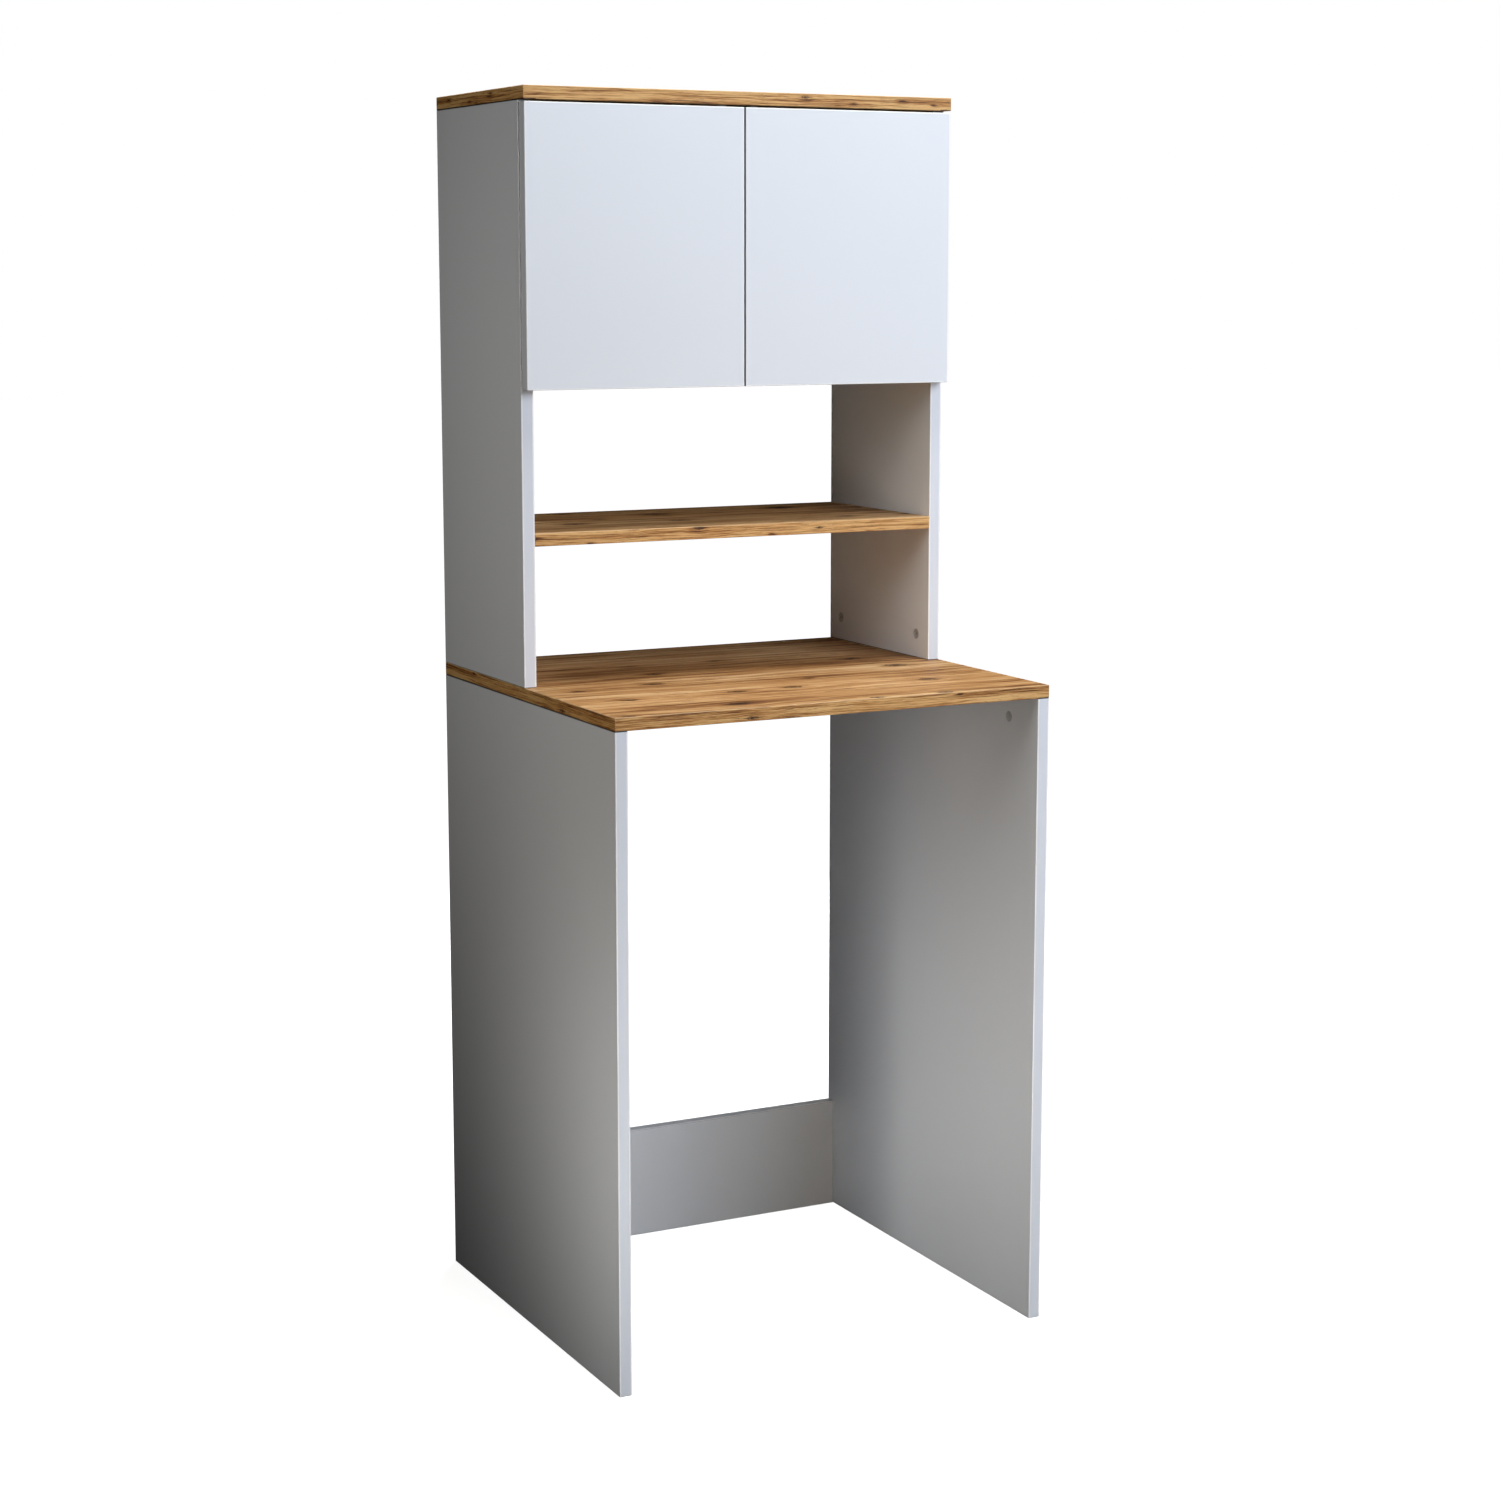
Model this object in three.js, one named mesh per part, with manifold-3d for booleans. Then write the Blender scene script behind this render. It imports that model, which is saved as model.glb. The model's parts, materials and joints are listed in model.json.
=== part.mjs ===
// A cabinet that stands over a washing machine. Two wide sides and a low rear rail make a bay that is open in
// front, a worktop lies on them, and a narrower upper part stands on the back half of the worktop: an open
// niche with one shelf, and over it a cupboard with two doors on concealed hinges.
// Millimetres. X runs from left to right as seen from the front, Y from front to back, Z up.
// The origin is on the floor, in the middle of the overall width and depth.
import * as THREE from "three";
import { mergeVertices } from "three/addons/utils/BufferGeometryUtils.js";
import Module from "manifold-3d";

const wasm = await Module();
wasm.setup();

// Driving sizes of the carcass
const width = 660; // over the outer faces of the sides
const board = 18; // every chipboard panel
const arris = 0.6; // chamfer of the edge bands
const baseDepth = 600;
const baseSideHeight = 897;
const upperDepth = 300;
const upperSideHeight = 792;
const railHeight = 169;
const shelfRise = 194; // worktop to the shelf's underside
const cupboardRise = 407; // worktop to the underside of the cupboard's floor
const backPanel = { thickness: 3, sideInset: 2 };
const door = { gap: 2, sideInset: 1.3, centreGap: 2.6, topGap: 3 };

// Clearances that every fit uses
const fit = 0.3; // still pieces in their holes and on their seats
const runningFit = 0.4; // links on their pins
const overrun = 1; // how far a cutting tool stands out of the face that it opens

// Fasteners
const cam = {
  diameter: 15, depth: 13, reach: 35, sides: 12, crossLength: 9, crossWidth: 1.8, crossDepth: 2,
};
const bolt = { hole: 7, shaftRadius: 2.2, threadRadius: 2.9, threadLength: 11, sides: 6 };
const dowel = { radius: 4, inFace: 11, inEdge: 19, chamfer: 1, spare: 1, sides: 6 };
const nail = { radius: 0.8, length: 16, spare: 1, sides: 6 };
const plateScrew = { headRadius: 3.4, headLength: 1.6, shankRadius: 1.7, length: 12, pointLength: 3, sides: 6 };
const cupScrew = { headRadius: 3.1, headLength: 1.4, shankRadius: 1.6, length: 10, pointLength: 3, sides: 6 };
const armScrew = { headRadius: 3.6, headLength: 2, shankRadius: 1.9, length: 8, pointLength: 1, sides: 6 };
const latchScrew = { headRadius: 2.8, headLength: 1.4, shankRadius: 1.5, length: 13, pointLength: 3, sides: 6 };

// Places of the joints' fasteners
const baseCamInset = 75; // from the base's front and back edges
const upperCamInset = 35; // from the upper part's front and back edges
const dowelPitch = 64; // from a cam of the base to the dowel beside it
const railDowelPitch = 50; // from the rail's cam to the dowel over and under it
const nailPitch = 130; // the most that lies between two nails
const nailEnd = 25; // from a corner of the back panel to its first nail

// Concealed hinge. Its own frame has x from the side's inner face into the cupboard, y forward from the
// side's front edge and z along the hinge's pins, with zero at the hinge's middle.
const hingeInset = 85; // from the door's upper and lower edge to a hinge
const cup = {
  bore: 35, boreDepth: 11.8, toDoorEdge: 22.5, wall: 0.9, floor: 0.8, depth: 11.2, sides: 20,
  flangeRadius: 19, flangeThickness: 0.8, screwPitch: 45, screwOffset: 9.5, wingRadius: 5.5, wingSides: 8,
  notchReach: 15, notchDepth: 1.2, notchSide: 0.6,
};
const pin = { radius: 1, sides: 8, eyeRadius: 2.1, eyeSides: 8 };
// The cup's two pins, from the bore's middle towards the door's edge, and from the door's back into it
const outerCupPin = { towardsEdge: 11.3, depth: 1.5 };
const innerCupPin = { towardsEdge: 4.5, depth: 5.8 };
// The arm's two pins, over the side's inner face, and in front of or behind the side's front edge
const armHeight = 18;
const backArmPin = 12;
const frontArmPin = 9.5;
// How the links share the hinge's width, as distances from its middle
const layer = { innerLink: 2.9, outerLinkLow: 3.2, outerLinkHigh: 4.5, cheekLow: 4.8, cheekHigh: 6 };
const outerLink = { bow: 3.8, halfWidth: 1.25, steps: 4 };
const innerLink = { thickness: 1.9, underPin: 1.5, lap: 3.3, nose: 1.1, elbow: 2.7 };
const arm = {
  cheekHalf: 2.1, webFront: 16.5, crankFront: 20, crankBack: 30, rearTop: 15, rearBottom: 7, rear: 64,
  webThickness: 1.2, tipSteps: 4,
};
const plate = {
  thickness: 2, screwSetback: 37, screwPitch: 32, wingRadius: 6.5, wingSides: 8, front: 28, halfWidth: 7,
  ridgeFront: 33, ridgeRear: 61, ridgeHalf: 4.5,
};
const armScrewSetbacks = [41, 53];

// Push latch under the top board, one for each door
const latch = {
  fromMiddle: 24, setback: 1, length: 70, halfWidth: 7, height: 16, corner: 4, axisDrop: 8.5, boreLength: 52,
  earHalf: 15, earLength: 13, earThickness: 3, earSetback: 30, screwOffset: 11, cornerSteps: 2,
};
const plunger = { radius: 4, length: 45, tipChamfer: 0.8, sides: 12 };
const strike = { halfWidth: 7, height: 24, thickness: 1, topInset: 1, corner: 2, screwInset: 6, cornerSteps: 2 };

// Planes and lines that the panels share
const overallDepth = baseDepth + backPanel.thickness;
const frontY = -overallDepth / 2;
const backY = frontY + baseDepth;
const upperFrontY = backY - upperDepth;
const doorBackY = upperFrontY - door.gap;
const doorFrontY = doorBackY - board;
const outerX = width / 2;
const innerX = outerX - board;
const boardMid = board / 2;
const worktopZ = baseSideHeight + board;
const shelfZ = worktopZ + shelfRise;
const cupboardZ = worktopZ + cupboardRise;
const upperTopZ = worktopZ + upperSideHeight;
const doorBottomZ = cupboardZ;
const doorTopZ = upperTopZ - door.topGap;
const hands = [["left", -1], ["right", 1]]; // the sign is that of X on that side
const east = new THREE.Vector3(1, 0, 0);
const north = new THREE.Vector3(0, 1, 0);
const up = new THREE.Vector3(0, 0, 1);

// Finishes, with the colours that the photograph shows
const finishes = {
  white: { color: 0xe4e9ee, roughness: 0.45, metalness: 0 },
  oak: { color: 0xb07c48, roughness: 0.6, metalness: 0 },
  hardboard: { color: 0xdcdcd8, roughness: 0.7, metalness: 0 },
  zinc: { color: 0xb9bcbe, roughness: 0.35, metalness: 0.9 },
  nickel: { color: 0xc6c5c1, roughness: 0.25, metalness: 0.95 },
  beech: { color: 0xcfa878, roughness: 0.75, metalness: 0 },
  greyPlastic: { color: 0xb8babb, roughness: 0.5, metalness: 0 },
};

// Shapes

// A geometry with nothing but welded corners
function bare(geometry) {
  const copy = geometry.clone();
  copy.deleteAttribute("normal");
  copy.deleteAttribute("uv");
  return mergeVertices(copy);
}

function toSolid(geometry) {
  const welded = bare(geometry);
  const vertProperties = new Float32Array(welded.attributes.position.array);
  const triVerts = new Uint32Array(welded.index.array);
  return new wasm.Manifold(new wasm.Mesh({ numProp: 3, vertProperties, triVerts }));
}

function toGeometry(solid) {
  const mesh = solid.getMesh();
  const geometry = new THREE.BufferGeometry();
  geometry.setAttribute("position", new THREE.BufferAttribute(new Float32Array(mesh.vertProperties), 3));
  geometry.setIndex(new THREE.BufferAttribute(new Uint32Array(mesh.triVerts), 1));
  return geometry;
}

function cut(geometry, tools) {
  return toGeometry(tools.reduce((rest, tool) => rest.subtract(toSolid(tool)), toSolid(geometry)));
}

function joined(...geometries) {
  return toGeometry(geometries.map(toSolid).reduce((whole, next) => whole.add(next)));
}

// What of a shape lies inside another one
function within(geometry, limit) {
  return toGeometry(toSolid(geometry).intersect(toSolid(limit)));
}

// A straight box between two corners
function block(low, high) {
  const size = high.map((value, i) => value - low[i]);
  const middle = high.map((value, i) => (value + low[i]) / 2);
  return new THREE.BoxGeometry(...size).translate(...middle);
}

// Turns a shape made along X so that it lies along another axis
const turnTo = {
  x: (geometry) => geometry,
  y: (geometry) => geometry.rotateZ(Math.PI / 2),
  z: (geometry) => geometry.rotateY(-Math.PI / 2),
};

function rod(axis, radius, low, high, sides) {
  const cylinder = new THREE.CylinderGeometry(radius, radius, high - low, sides);
  return turnTo[axis](cylinder.rotateZ(-Math.PI / 2).translate((low + high) / 2, 0, 0));
}

// A turned piece along X: each point is a radius and a place on the axis, from the low end to the high end
function turned(points, sides) {
  const outline = points.map(([radius, place]) => new THREE.Vector2(radius, place));
  return new THREE.LatheGeometry(outline, sides).rotateZ(-Math.PI / 2);
}

// A flat shape in XY, given thickness along Z between two heights
function slab(shape, low, high, curveSegments = 1) {
  const settings = { depth: high - low, bevelEnabled: false, curveSegments };
  return new THREE.ExtrudeGeometry(shape, settings).translate(0, 0, low);
}

function polygon(points) {
  return new THREE.Shape(points.map(([x, y]) => new THREE.Vector2(x, y)));
}

// A rectangle about the origin whose corners are rounded in a few steps
function roundedRectangle(halfWidth, halfHeight, corner) {
  const shape = new THREE.Shape();
  const x = halfWidth - corner;
  const y = halfHeight - corner;
  shape.absarc(x, y, corner, 0, Math.PI / 2);
  shape.absarc(-x, y, corner, Math.PI / 2, Math.PI);
  shape.absarc(-x, -y, corner, Math.PI, 1.5 * Math.PI);
  shape.absarc(x, -y, corner, 1.5 * Math.PI, 2 * Math.PI);
  return shape;
}

// A panel with every arris chamfered, about its own middle
function chamferedBoard(size) {
  const [halfX, halfY] = [size[0] / 2 - arris, size[1] / 2 - arris];
  const shape = polygon([
    [halfX + arris, -halfY], [halfX + arris, halfY], [halfX, halfY + arris], [-halfX, halfY + arris],
    [-halfX - arris, halfY], [-halfX - arris, -halfY], [-halfX, -halfY - arris], [halfX, -halfY - arris],
  ]);
  const settings = {
    depth: size[2] - 2 * arris, bevelThickness: arris, bevelSize: arris, bevelOffset: -arris, bevelSegments: 1,
  };
  return new THREE.ExtrudeGeometry(shape, settings).translate(0, 0, arris - size[2] / 2);
}

// A screw along X with its head on the high side of zero and a pointed shank on the low side
function screwShape({ headRadius, headLength, shankRadius, length, pointLength, sides }) {
  return turned([
    [0, -length], [shankRadius, pointLength - length], [shankRadius, 0], [headRadius, 0],
    [headRadius, headLength], [0, headLength],
  ], sides);
}

// The hole that such a screw needs, from a little over its seat to past its point
function screwHole({ shankRadius, length, sides }) {
  return rod("x", shankRadius + fit, -length - fit, overrun, sides);
}

// Scene graph

const cabinet = new THREE.Group();

function piece(name, geometry, finish, parent = cabinet) {
  const mesh = new THREE.Mesh(bare(geometry), new THREE.MeshStandardMaterial({ ...finish, flatShading: true }));
  mesh.name = name;
  parent.add(mesh);
  return mesh;
}

// Panels are listed with two corners, drilled by the joints below, and made at the end. What is driven or
// glued into a panel for good, such as its dowels, is part of it.
const panels = new Map();

function panel(name, low, high, finish) {
  panels.set(name, { low, high, finish, holes: [], pegs: [] });
}

function drill(name, geometry) {
  panels.get(name).holes.push(geometry);
}

function peg(name, geometry) {
  panels.get(name).pegs.push(geometry);
}

// The frame of a fastener: x forward along its axis, z towards a given side
function frameAt(origin, forward, side) {
  const third = side.clone().cross(forward);
  return new THREE.Matrix4().makeBasis(forward, third, side).setPosition(...origin);
}

function placed(geometry, matrix) {
  return geometry.clone().applyMatrix4(matrix);
}

for (const [hand, s] of hands) {
  const across = (a, b) => [Math.min(s * a, s * b), Math.max(s * a, s * b)];
  const [lowX, highX] = across(innerX, outerX);
  panel(`base_side_${hand}`, [lowX, frontY, 0], [highX, backY, baseSideHeight], finishes.white);
  panel(`upper_side_${hand}`, [lowX, upperFrontY, worktopZ], [highX, backY, upperTopZ], finishes.white);
  const [doorLowX, doorHighX] = across(door.centreGap / 2, outerX - door.sideInset);
  panel(`door_${hand}`, [doorLowX, doorFrontY, doorBottomZ], [doorHighX, doorBackY, doorTopZ], finishes.white);
}
panel("worktop", [-outerX, frontY, baseSideHeight], [outerX, backY, worktopZ], finishes.oak);
panel("rear_rail", [-innerX, backY - board, 0], [innerX, backY, railHeight], finishes.white);
panel("niche_shelf", [-innerX, upperFrontY, shelfZ], [innerX, backY, shelfZ + board], finishes.oak);
panel("cupboard_floor", [-innerX, upperFrontY, cupboardZ], [innerX, backY, cupboardZ + board], finishes.white);
panel("top_board", [-outerX, doorFrontY, upperTopZ], [outerX, backY, upperTopZ + board], finishes.oak);

// The hardboard back reaches the middle of the cupboard's floor and of the top board
const backHalf = outerX - backPanel.sideInset;
const backLowZ = cupboardZ + boardMid;
const backHighZ = upperTopZ + boardMid;
const backOuterY = backY + backPanel.thickness;
panel("back_panel", [-backHalf, backY, backLowZ], [backHalf, backOuterY, backHighZ], finishes.hardboard);

// Cam locks: a bolt screwed into one panel's face runs up the other panel's edge to a cam in its face, which
// grips its head. A cam and its bolt are one solid, as they are when tightened. In the joint's frame x runs
// from the face into the edge, z to the side where the cam is seen, and the origin is on the joint in the
// middle of the edge.

const camRadius = cam.diameter / 2;
const camFloor = boardMid - cam.depth;

function camBore() {
  return rod("z", camRadius, camFloor, boardMid + overrun, cam.sides).translate(cam.reach, 0, 0);
}

function boltShape() {
  return turned([
    [0, -bolt.threadLength], [bolt.threadRadius, -bolt.threadLength], [bolt.threadRadius, 0],
    [bolt.shaftRadius, 0], [bolt.shaftRadius, cam.reach], [0, cam.reach],
  ], bolt.sides);
}

function camLockShape() {
  const body = rod("z", camRadius - fit, camFloor + fit, boardMid, cam.sides);
  const slotFloor = boardMid - cam.crossDepth;
  const [long, wide] = [cam.crossLength / 2, cam.crossWidth / 2];
  const slots = [
    block([-long, -wide, slotFloor], [long, wide, boardMid + overrun]),
    block([-wide, -long, slotFloor], [wide, long, boardMid + overrun]),
  ].map((slot) => slot.rotateZ(Math.PI / 4));
  return joined(cut(body, slots).translate(cam.reach, 0, 0), boltShape());
}

const camLock = camLockShape();

function camJoint(name, face, edge, at, into, camSide) {
  const frame = frameAt(at, into, camSide);
  drill(edge, placed(camBore(), frame));
  drill(edge, placed(rod("x", bolt.hole / 2, -overrun, cam.reach, bolt.sides), frame));
  drill(face, placed(rod("x", bolt.threadRadius + fit, -bolt.threadLength - fit, overrun, bolt.sides), frame));
  piece(`cam_lock_${name}`, placed(camLock, frame), finishes.zinc);
}

// Dowels are glued into the panel whose face they stand in, and slide into the other one's edge
function dowelJoint(face, edge, at, into, side) {
  const frame = frameAt(at, into, side);
  const { radius, inFace, inEdge, chamfer, spare, sides } = dowel;
  drill(edge, placed(rod("x", radius + fit, -overrun, inEdge + spare, sides), frame));
  peg(face, placed(turned([
    [0, -inFace], [radius, -inFace], [radius, inEdge - chamfer], [radius - chamfer, inEdge], [0, inEdge],
  ], sides), frame));
}

for (const [hand, s] of hands) {
  const inward = east.clone().multiplyScalar(-s);
  const down = up.clone().negate();
  const sideMid = s * (outerX - boardMid);

  // Worktop on the base side
  for (const [end, edgeY, step] of [["front", frontY, 1], ["back", backY, -1]]) {
    const camY = edgeY + step * baseCamInset;
    const dowelY = camY + step * dowelPitch;
    const baseSide = `base_side_${hand}`;
    camJoint(`worktop_${hand}_${end}`, "worktop", baseSide, [sideMid, camY, baseSideHeight], down, inward);
    dowelJoint("worktop", baseSide, [sideMid, dowelY, baseSideHeight], down, inward);
  }

  // Rear rail between the base sides, its cams on the hidden back
  const railAt = (z) => [s * innerX, backY - boardMid, z];
  camJoint(`rail_${hand}`, `base_side_${hand}`, "rear_rail", railAt(railHeight / 2), inward, north);
  for (const step of [-1, 1]) {
    const z = railHeight / 2 + step * railDowelPitch;
    dowelJoint(`base_side_${hand}`, "rear_rail", railAt(z), inward, north);
  }

  // The upper side on the worktop, the top board on it, and the shelf and the cupboard's floor between the
  // upper sides with their cams underneath
  const upperSide = `upper_side_${hand}`;
  const middleY = upperFrontY + upperDepth / 2;
  const flatJoints = [["shelf", "niche_shelf", shelfZ], ["floor", "cupboard_floor", cupboardZ]];
  for (const [end, y] of [["front", upperFrontY + upperCamInset], ["back", backY - upperCamInset]]) {
    camJoint(`foot_${hand}_${end}`, "worktop", upperSide, [sideMid, y, worktopZ], up, inward);
    camJoint(`top_${hand}_${end}`, "top_board", upperSide, [sideMid, y, upperTopZ], down, inward);
    for (const [short, name, underside] of flatJoints) {
      camJoint(`${short}_${hand}_${end}`, upperSide, name, [s * innerX, y, underside + boardMid], inward, down);
    }
  }
  dowelJoint("worktop", upperSide, [sideMid, middleY, worktopZ], up, inward);
  dowelJoint("top_board", upperSide, [sideMid, middleY, upperTopZ], down, inward);
  for (const [, name, underside] of flatJoints) {
    dowelJoint(upperSide, name, [s * innerX, middleY, underside + boardMid], inward, down);
  }
}

// Nails round the back panel, driven flush through it into the panels' rear edges

function nailAt(x, z, into) {
  const frame = frameAt([x, backOuterY, z], north, up);
  const { radius, length, spare, sides } = nail;
  drill(into, placed(rod("x", radius + fit, -length - spare, 0, sides), frame));
  peg("back_panel", placed(rod("x", radius, -length, -backPanel.thickness / 2, sides), frame));
}

// Evenly spread places from one end of a run to the other, no further apart than the pitch
function spread(low, high, pitch) {
  const steps = Math.ceil((high - low) / pitch);
  return Array.from({ length: steps + 1 }, (_, i) => low + (i * (high - low)) / steps);
}

const nailRowX = innerX - nailEnd;
const nailColumn = spread(backLowZ + nailEnd, backHighZ - nailEnd, nailPitch);
for (const [hand, s] of hands) {
  for (const z of nailColumn) nailAt(s * (outerX - boardMid), z, `upper_side_${hand}`);
}
for (const x of spread(-nailRowX, nailRowX, 2 * nailPitch)) {
  nailAt(x, (backLowZ + cupboardZ + board) / 2, "cupboard_floor");
  nailAt(x, (backHighZ + upperTopZ) / 2, "top_board");
}

// Concealed hinge

const doorEdgeX = -(board - door.sideInset);
const cupX = doorEdgeX + cup.toDoorEdge;
const cupPin = ({ towardsEdge, depth }) => new THREE.Vector2(cupX - towardsEdge, door.gap + depth);
const outerPinAtCup = cupPin(outerCupPin);
const innerPinAtCup = cupPin(innerCupPin);
const outerPinAtArm = new THREE.Vector2(armHeight, -backArmPin);
const innerPinAtArm = new THREE.Vector2(armHeight, frontArmPin);
const flangeBack = door.gap - fit;
const flangeFront = flangeBack - cup.flangeThickness;
const cupOuter = cup.bore / 2 - fit;
const cupInner = cupOuter - cup.wall;
const cupBottom = door.gap + cup.depth;
const pinHole = pin.radius + runningFit;

function pinAt(place, low, high, radius = pin.radius) {
  return rod("z", radius, low, high, pin.sides).translate(place.x, place.y, 0);
}

function eyeAt(place, low, high) {
  return rod("z", pin.eyeRadius, low, high, pin.eyeSides).translate(place.x, place.y, 0);
}

// The pressed steel cup with its winged flange, two screws and two pins that end in its wall. The outer pin is
// two stubs, one for each ear of the outer link, so that the inner link can swing between them. A notch in the
// rim lets the links out when the door is wide open.
function cupShape() {
  const bowl = turned([
    [0, -cupBottom], [cupOuter, -cupBottom], [cupOuter, -flangeBack], [cup.flangeRadius, -flangeBack],
    [cup.flangeRadius, -flangeFront], [cupInner, -flangeFront], [cupInner, cup.floor - cupBottom],
    [0, cup.floor - cupBottom],
  ], cup.sides).rotateZ(-Math.PI / 2).translate(cupX, 0, 0);
  const wingX = cupX + cup.screwOffset;
  const half = cup.screwPitch / 2;
  const wing = block([wingX - cup.wingRadius, flangeFront, -half], [wingX + cup.wingRadius, flangeBack, half]);
  const ends = [-half, half].map((z) =>
    rod("y", cup.wingRadius, flangeFront, flangeBack, cup.wingSides).translate(wingX, 0, z));
  const flange = cut(joined(wing, ...ends), [
    rod("y", cupInner, flangeFront - overrun, flangeBack + overrun, cup.sides).translate(cupX, 0, 0),
  ]);
  const pins = joined(
    pinAt(outerPinAtCup, layer.outerLinkLow, cupOuter), pinAt(outerPinAtCup, -cupOuter, -layer.outerLinkLow),
    pinAt(innerPinAtCup, -cupOuter, cupOuter),
  );
  const wallMiddle = rod("y", cupOuter - cup.wall / 2, flangeFront, cupBottom, cup.sides).translate(cupX, 0, 0);
  const screws = cupScrewPlaces().map((place) => placed(screwShape(cupScrew), place));
  const notchHalf = layer.outerLinkHigh + cup.notchSide;
  const notch = block(
    [cupX - cup.flangeRadius - overrun, flangeFront - overrun, -notchHalf],
    [cupX - cup.notchReach, door.gap + cup.notchDepth, notchHalf],
  );
  return joined(cut(bowl, [notch]), flange, within(pins, wallMiddle), ...screws);
}

// A bar between two pins whose middle line is bowed to one side
function bowedBar(from, to, bow, halfWidth, steps) {
  const run = to.clone().sub(from);
  const aside = new THREE.Vector2(run.y, -run.x).normalize();
  const handle = from.clone().lerp(to, 1 / 2).addScaledVector(aside, 2 * bow);
  const line = new THREE.QuadraticBezierCurve(from, handle, to);
  const offset = (side) => Array.from({ length: steps + 1 }, (_, i) => {
    const tangent = line.getTangent(i / steps);
    return line.getPoint(i / steps).add(new THREE.Vector2(-tangent.y, tangent.x).multiplyScalar(side));
  });
  return new THREE.Shape([...offset(-halfWidth), ...offset(halfWidth).reverse()]);
}

// Two bowed plates that clear the side panel's front corner, with one barrel round the arm's rear pin
function outerLinkShape() {
  const { bow, halfWidth, steps } = outerLink;
  const bar = bowedBar(outerPinAtArm, outerPinAtCup, bow, halfWidth, steps);
  const layers = [[layer.outerLinkLow, layer.outerLinkHigh], [-layer.outerLinkHigh, -layer.outerLinkLow]];
  const ears = layers.flatMap(([low, high]) => [slab(bar, low, high), eyeAt(outerPinAtCup, low, high)]);
  const barrel = eyeAt(outerPinAtArm, -layer.outerLinkHigh, layer.outerLinkHigh);
  const through = layer.outerLinkHigh + overrun;
  return cut(joined(barrel, ...ears), [
    pinAt(outerPinAtArm, -through, through, pinHole), pinAt(outerPinAtCup, -through, through, pinHole),
  ]);
}

// The inner link turns on the arm's front pin and passes in front of the cup's inner pin. That pivot is the
// one that the real hinge closes, and it is left open here by the way that the pin strays in the fold.
function innerLinkShape() {
  const { thickness, underPin, lap, nose, elbow } = innerLink;
  const top = innerPinAtCup.y - underPin;
  const bottom = top - thickness;
  const left = innerPinAtCup.x - lap;
  const right = innerPinAtCup.x + elbow;
  const eye = innerPinAtArm;
  const outline = polygon([
    [left + nose, bottom], [right, bottom], [eye.x, eye.y - pin.eyeRadius], [eye.x, eye.y + pin.eyeRadius],
    [right - nose / 2, top], [left, top], [left, bottom + nose],
  ]);
  const half = layer.innerLink;
  return cut(joined(slab(outline, -half, half), eyeAt(eye, -half, half)), [
    pinAt(eye, -half - overrun, half + overrun, pinHole),
  ]);
}

// The cranked arm: two cheeks, a web behind the pins, the two pins that the links turn on, and the screws
// that hold it on the mounting plate
function armShape() {
  const { cheekHalf, webFront, crankFront, crankBack, rearTop, rearBottom, rear, webThickness } = arm;
  const tipTop = armHeight + cheekHalf;
  const tipBottom = armHeight - cheekHalf;
  const shape = new THREE.Shape();
  shape.moveTo(rearBottom, -rear);
  shape.lineTo(rearTop, -rear);
  shape.lineTo(rearTop, -crankBack);
  shape.lineTo(tipTop, -crankFront);
  shape.absarc(armHeight, frontArmPin, cheekHalf, 0, Math.PI);
  shape.lineTo(tipBottom, -backArmPin);
  shape.lineTo(rearBottom, -crankBack);
  const web = polygon([
    [tipTop, -webFront], [tipTop - webThickness, -webFront], [tipTop - webThickness, -crankFront],
    [rearTop - webThickness, -crankBack], [rearTop - webThickness, -rear], [rearTop, -rear],
    [rearTop, -crankBack], [tipTop, -crankFront],
  ]);
  return joined(
    slab(shape, layer.cheekLow, layer.cheekHigh, arm.tipSteps),
    slab(shape, -layer.cheekHigh, -layer.cheekLow, arm.tipSteps),
    slab(web, -layer.cheekHigh, layer.cheekHigh),
    pinAt(outerPinAtArm, -layer.cheekHigh, layer.cheekHigh),
    pinAt(innerPinAtArm, -layer.cheekHigh, layer.cheekHigh),
    ...armScrewPlaces().map((place) => placed(screwShape(armScrew), place)),
  );
}

// The winged mounting plate with its two screws, and the ridge that the arm is screwed on
function plateShape() {
  const half = plate.screwPitch / 2;
  const [low, high] = [fit, fit + plate.thickness];
  const ridgeTop = arm.rearTop - arm.webThickness - fit;
  const centre = -plate.screwSetback;
  const body = joined(
    block([low, -arm.rear, -plate.halfWidth], [high, -plate.front, plate.halfWidth]),
    block([low, centre - plate.wingRadius, -half], [high, centre + plate.wingRadius, half]),
    ...[-half, half].map((z) => rod("x", plate.wingRadius, low, high, plate.wingSides).translate(0, centre, z)),
    block([low, -plate.ridgeRear, -plate.ridgeHalf], [ridgeTop, -plate.ridgeFront, plate.ridgeHalf]),
  );
  const ridgeHoles = armScrewPlaces().map((place) => placed(screwHole(armScrew), place));
  const screws = plateScrewPlaces().map((place) => placed(screwShape(plateScrew), place));
  return joined(cut(body, ridgeHoles), ...screws);
}

// Places of a hinge's screws: a point on the head's seat, and the turn that points the head out
function plateScrewPlaces() {
  return [-1, 1].map((step) => new THREE.Matrix4()
    .makeTranslation(fit + plate.thickness, -plate.screwSetback, (step * plate.screwPitch) / 2));
}

function armScrewPlaces() {
  return armScrewSetbacks.map((y) => new THREE.Matrix4().makeTranslation(arm.rearTop, -y, 0));
}

function cupScrewPlaces() {
  return [-1, 1].map((step) => new THREE.Matrix4().makeRotationZ(-Math.PI / 2)
    .setPosition(cupX + cup.screwOffset, flangeFront, (step * cup.screwPitch) / 2));
}

const hingeShapes = {
  cup: cupShape(), arm: armShape(), plate: plateShape(), outer_link: outerLinkShape(), inner_link: innerLinkShape(),
};
const cupBore = rod("y", cup.bore / 2, door.gap - overrun, door.gap + cup.boreDepth, cup.sides)
  .translate(cupX, 0, 0);

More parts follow.
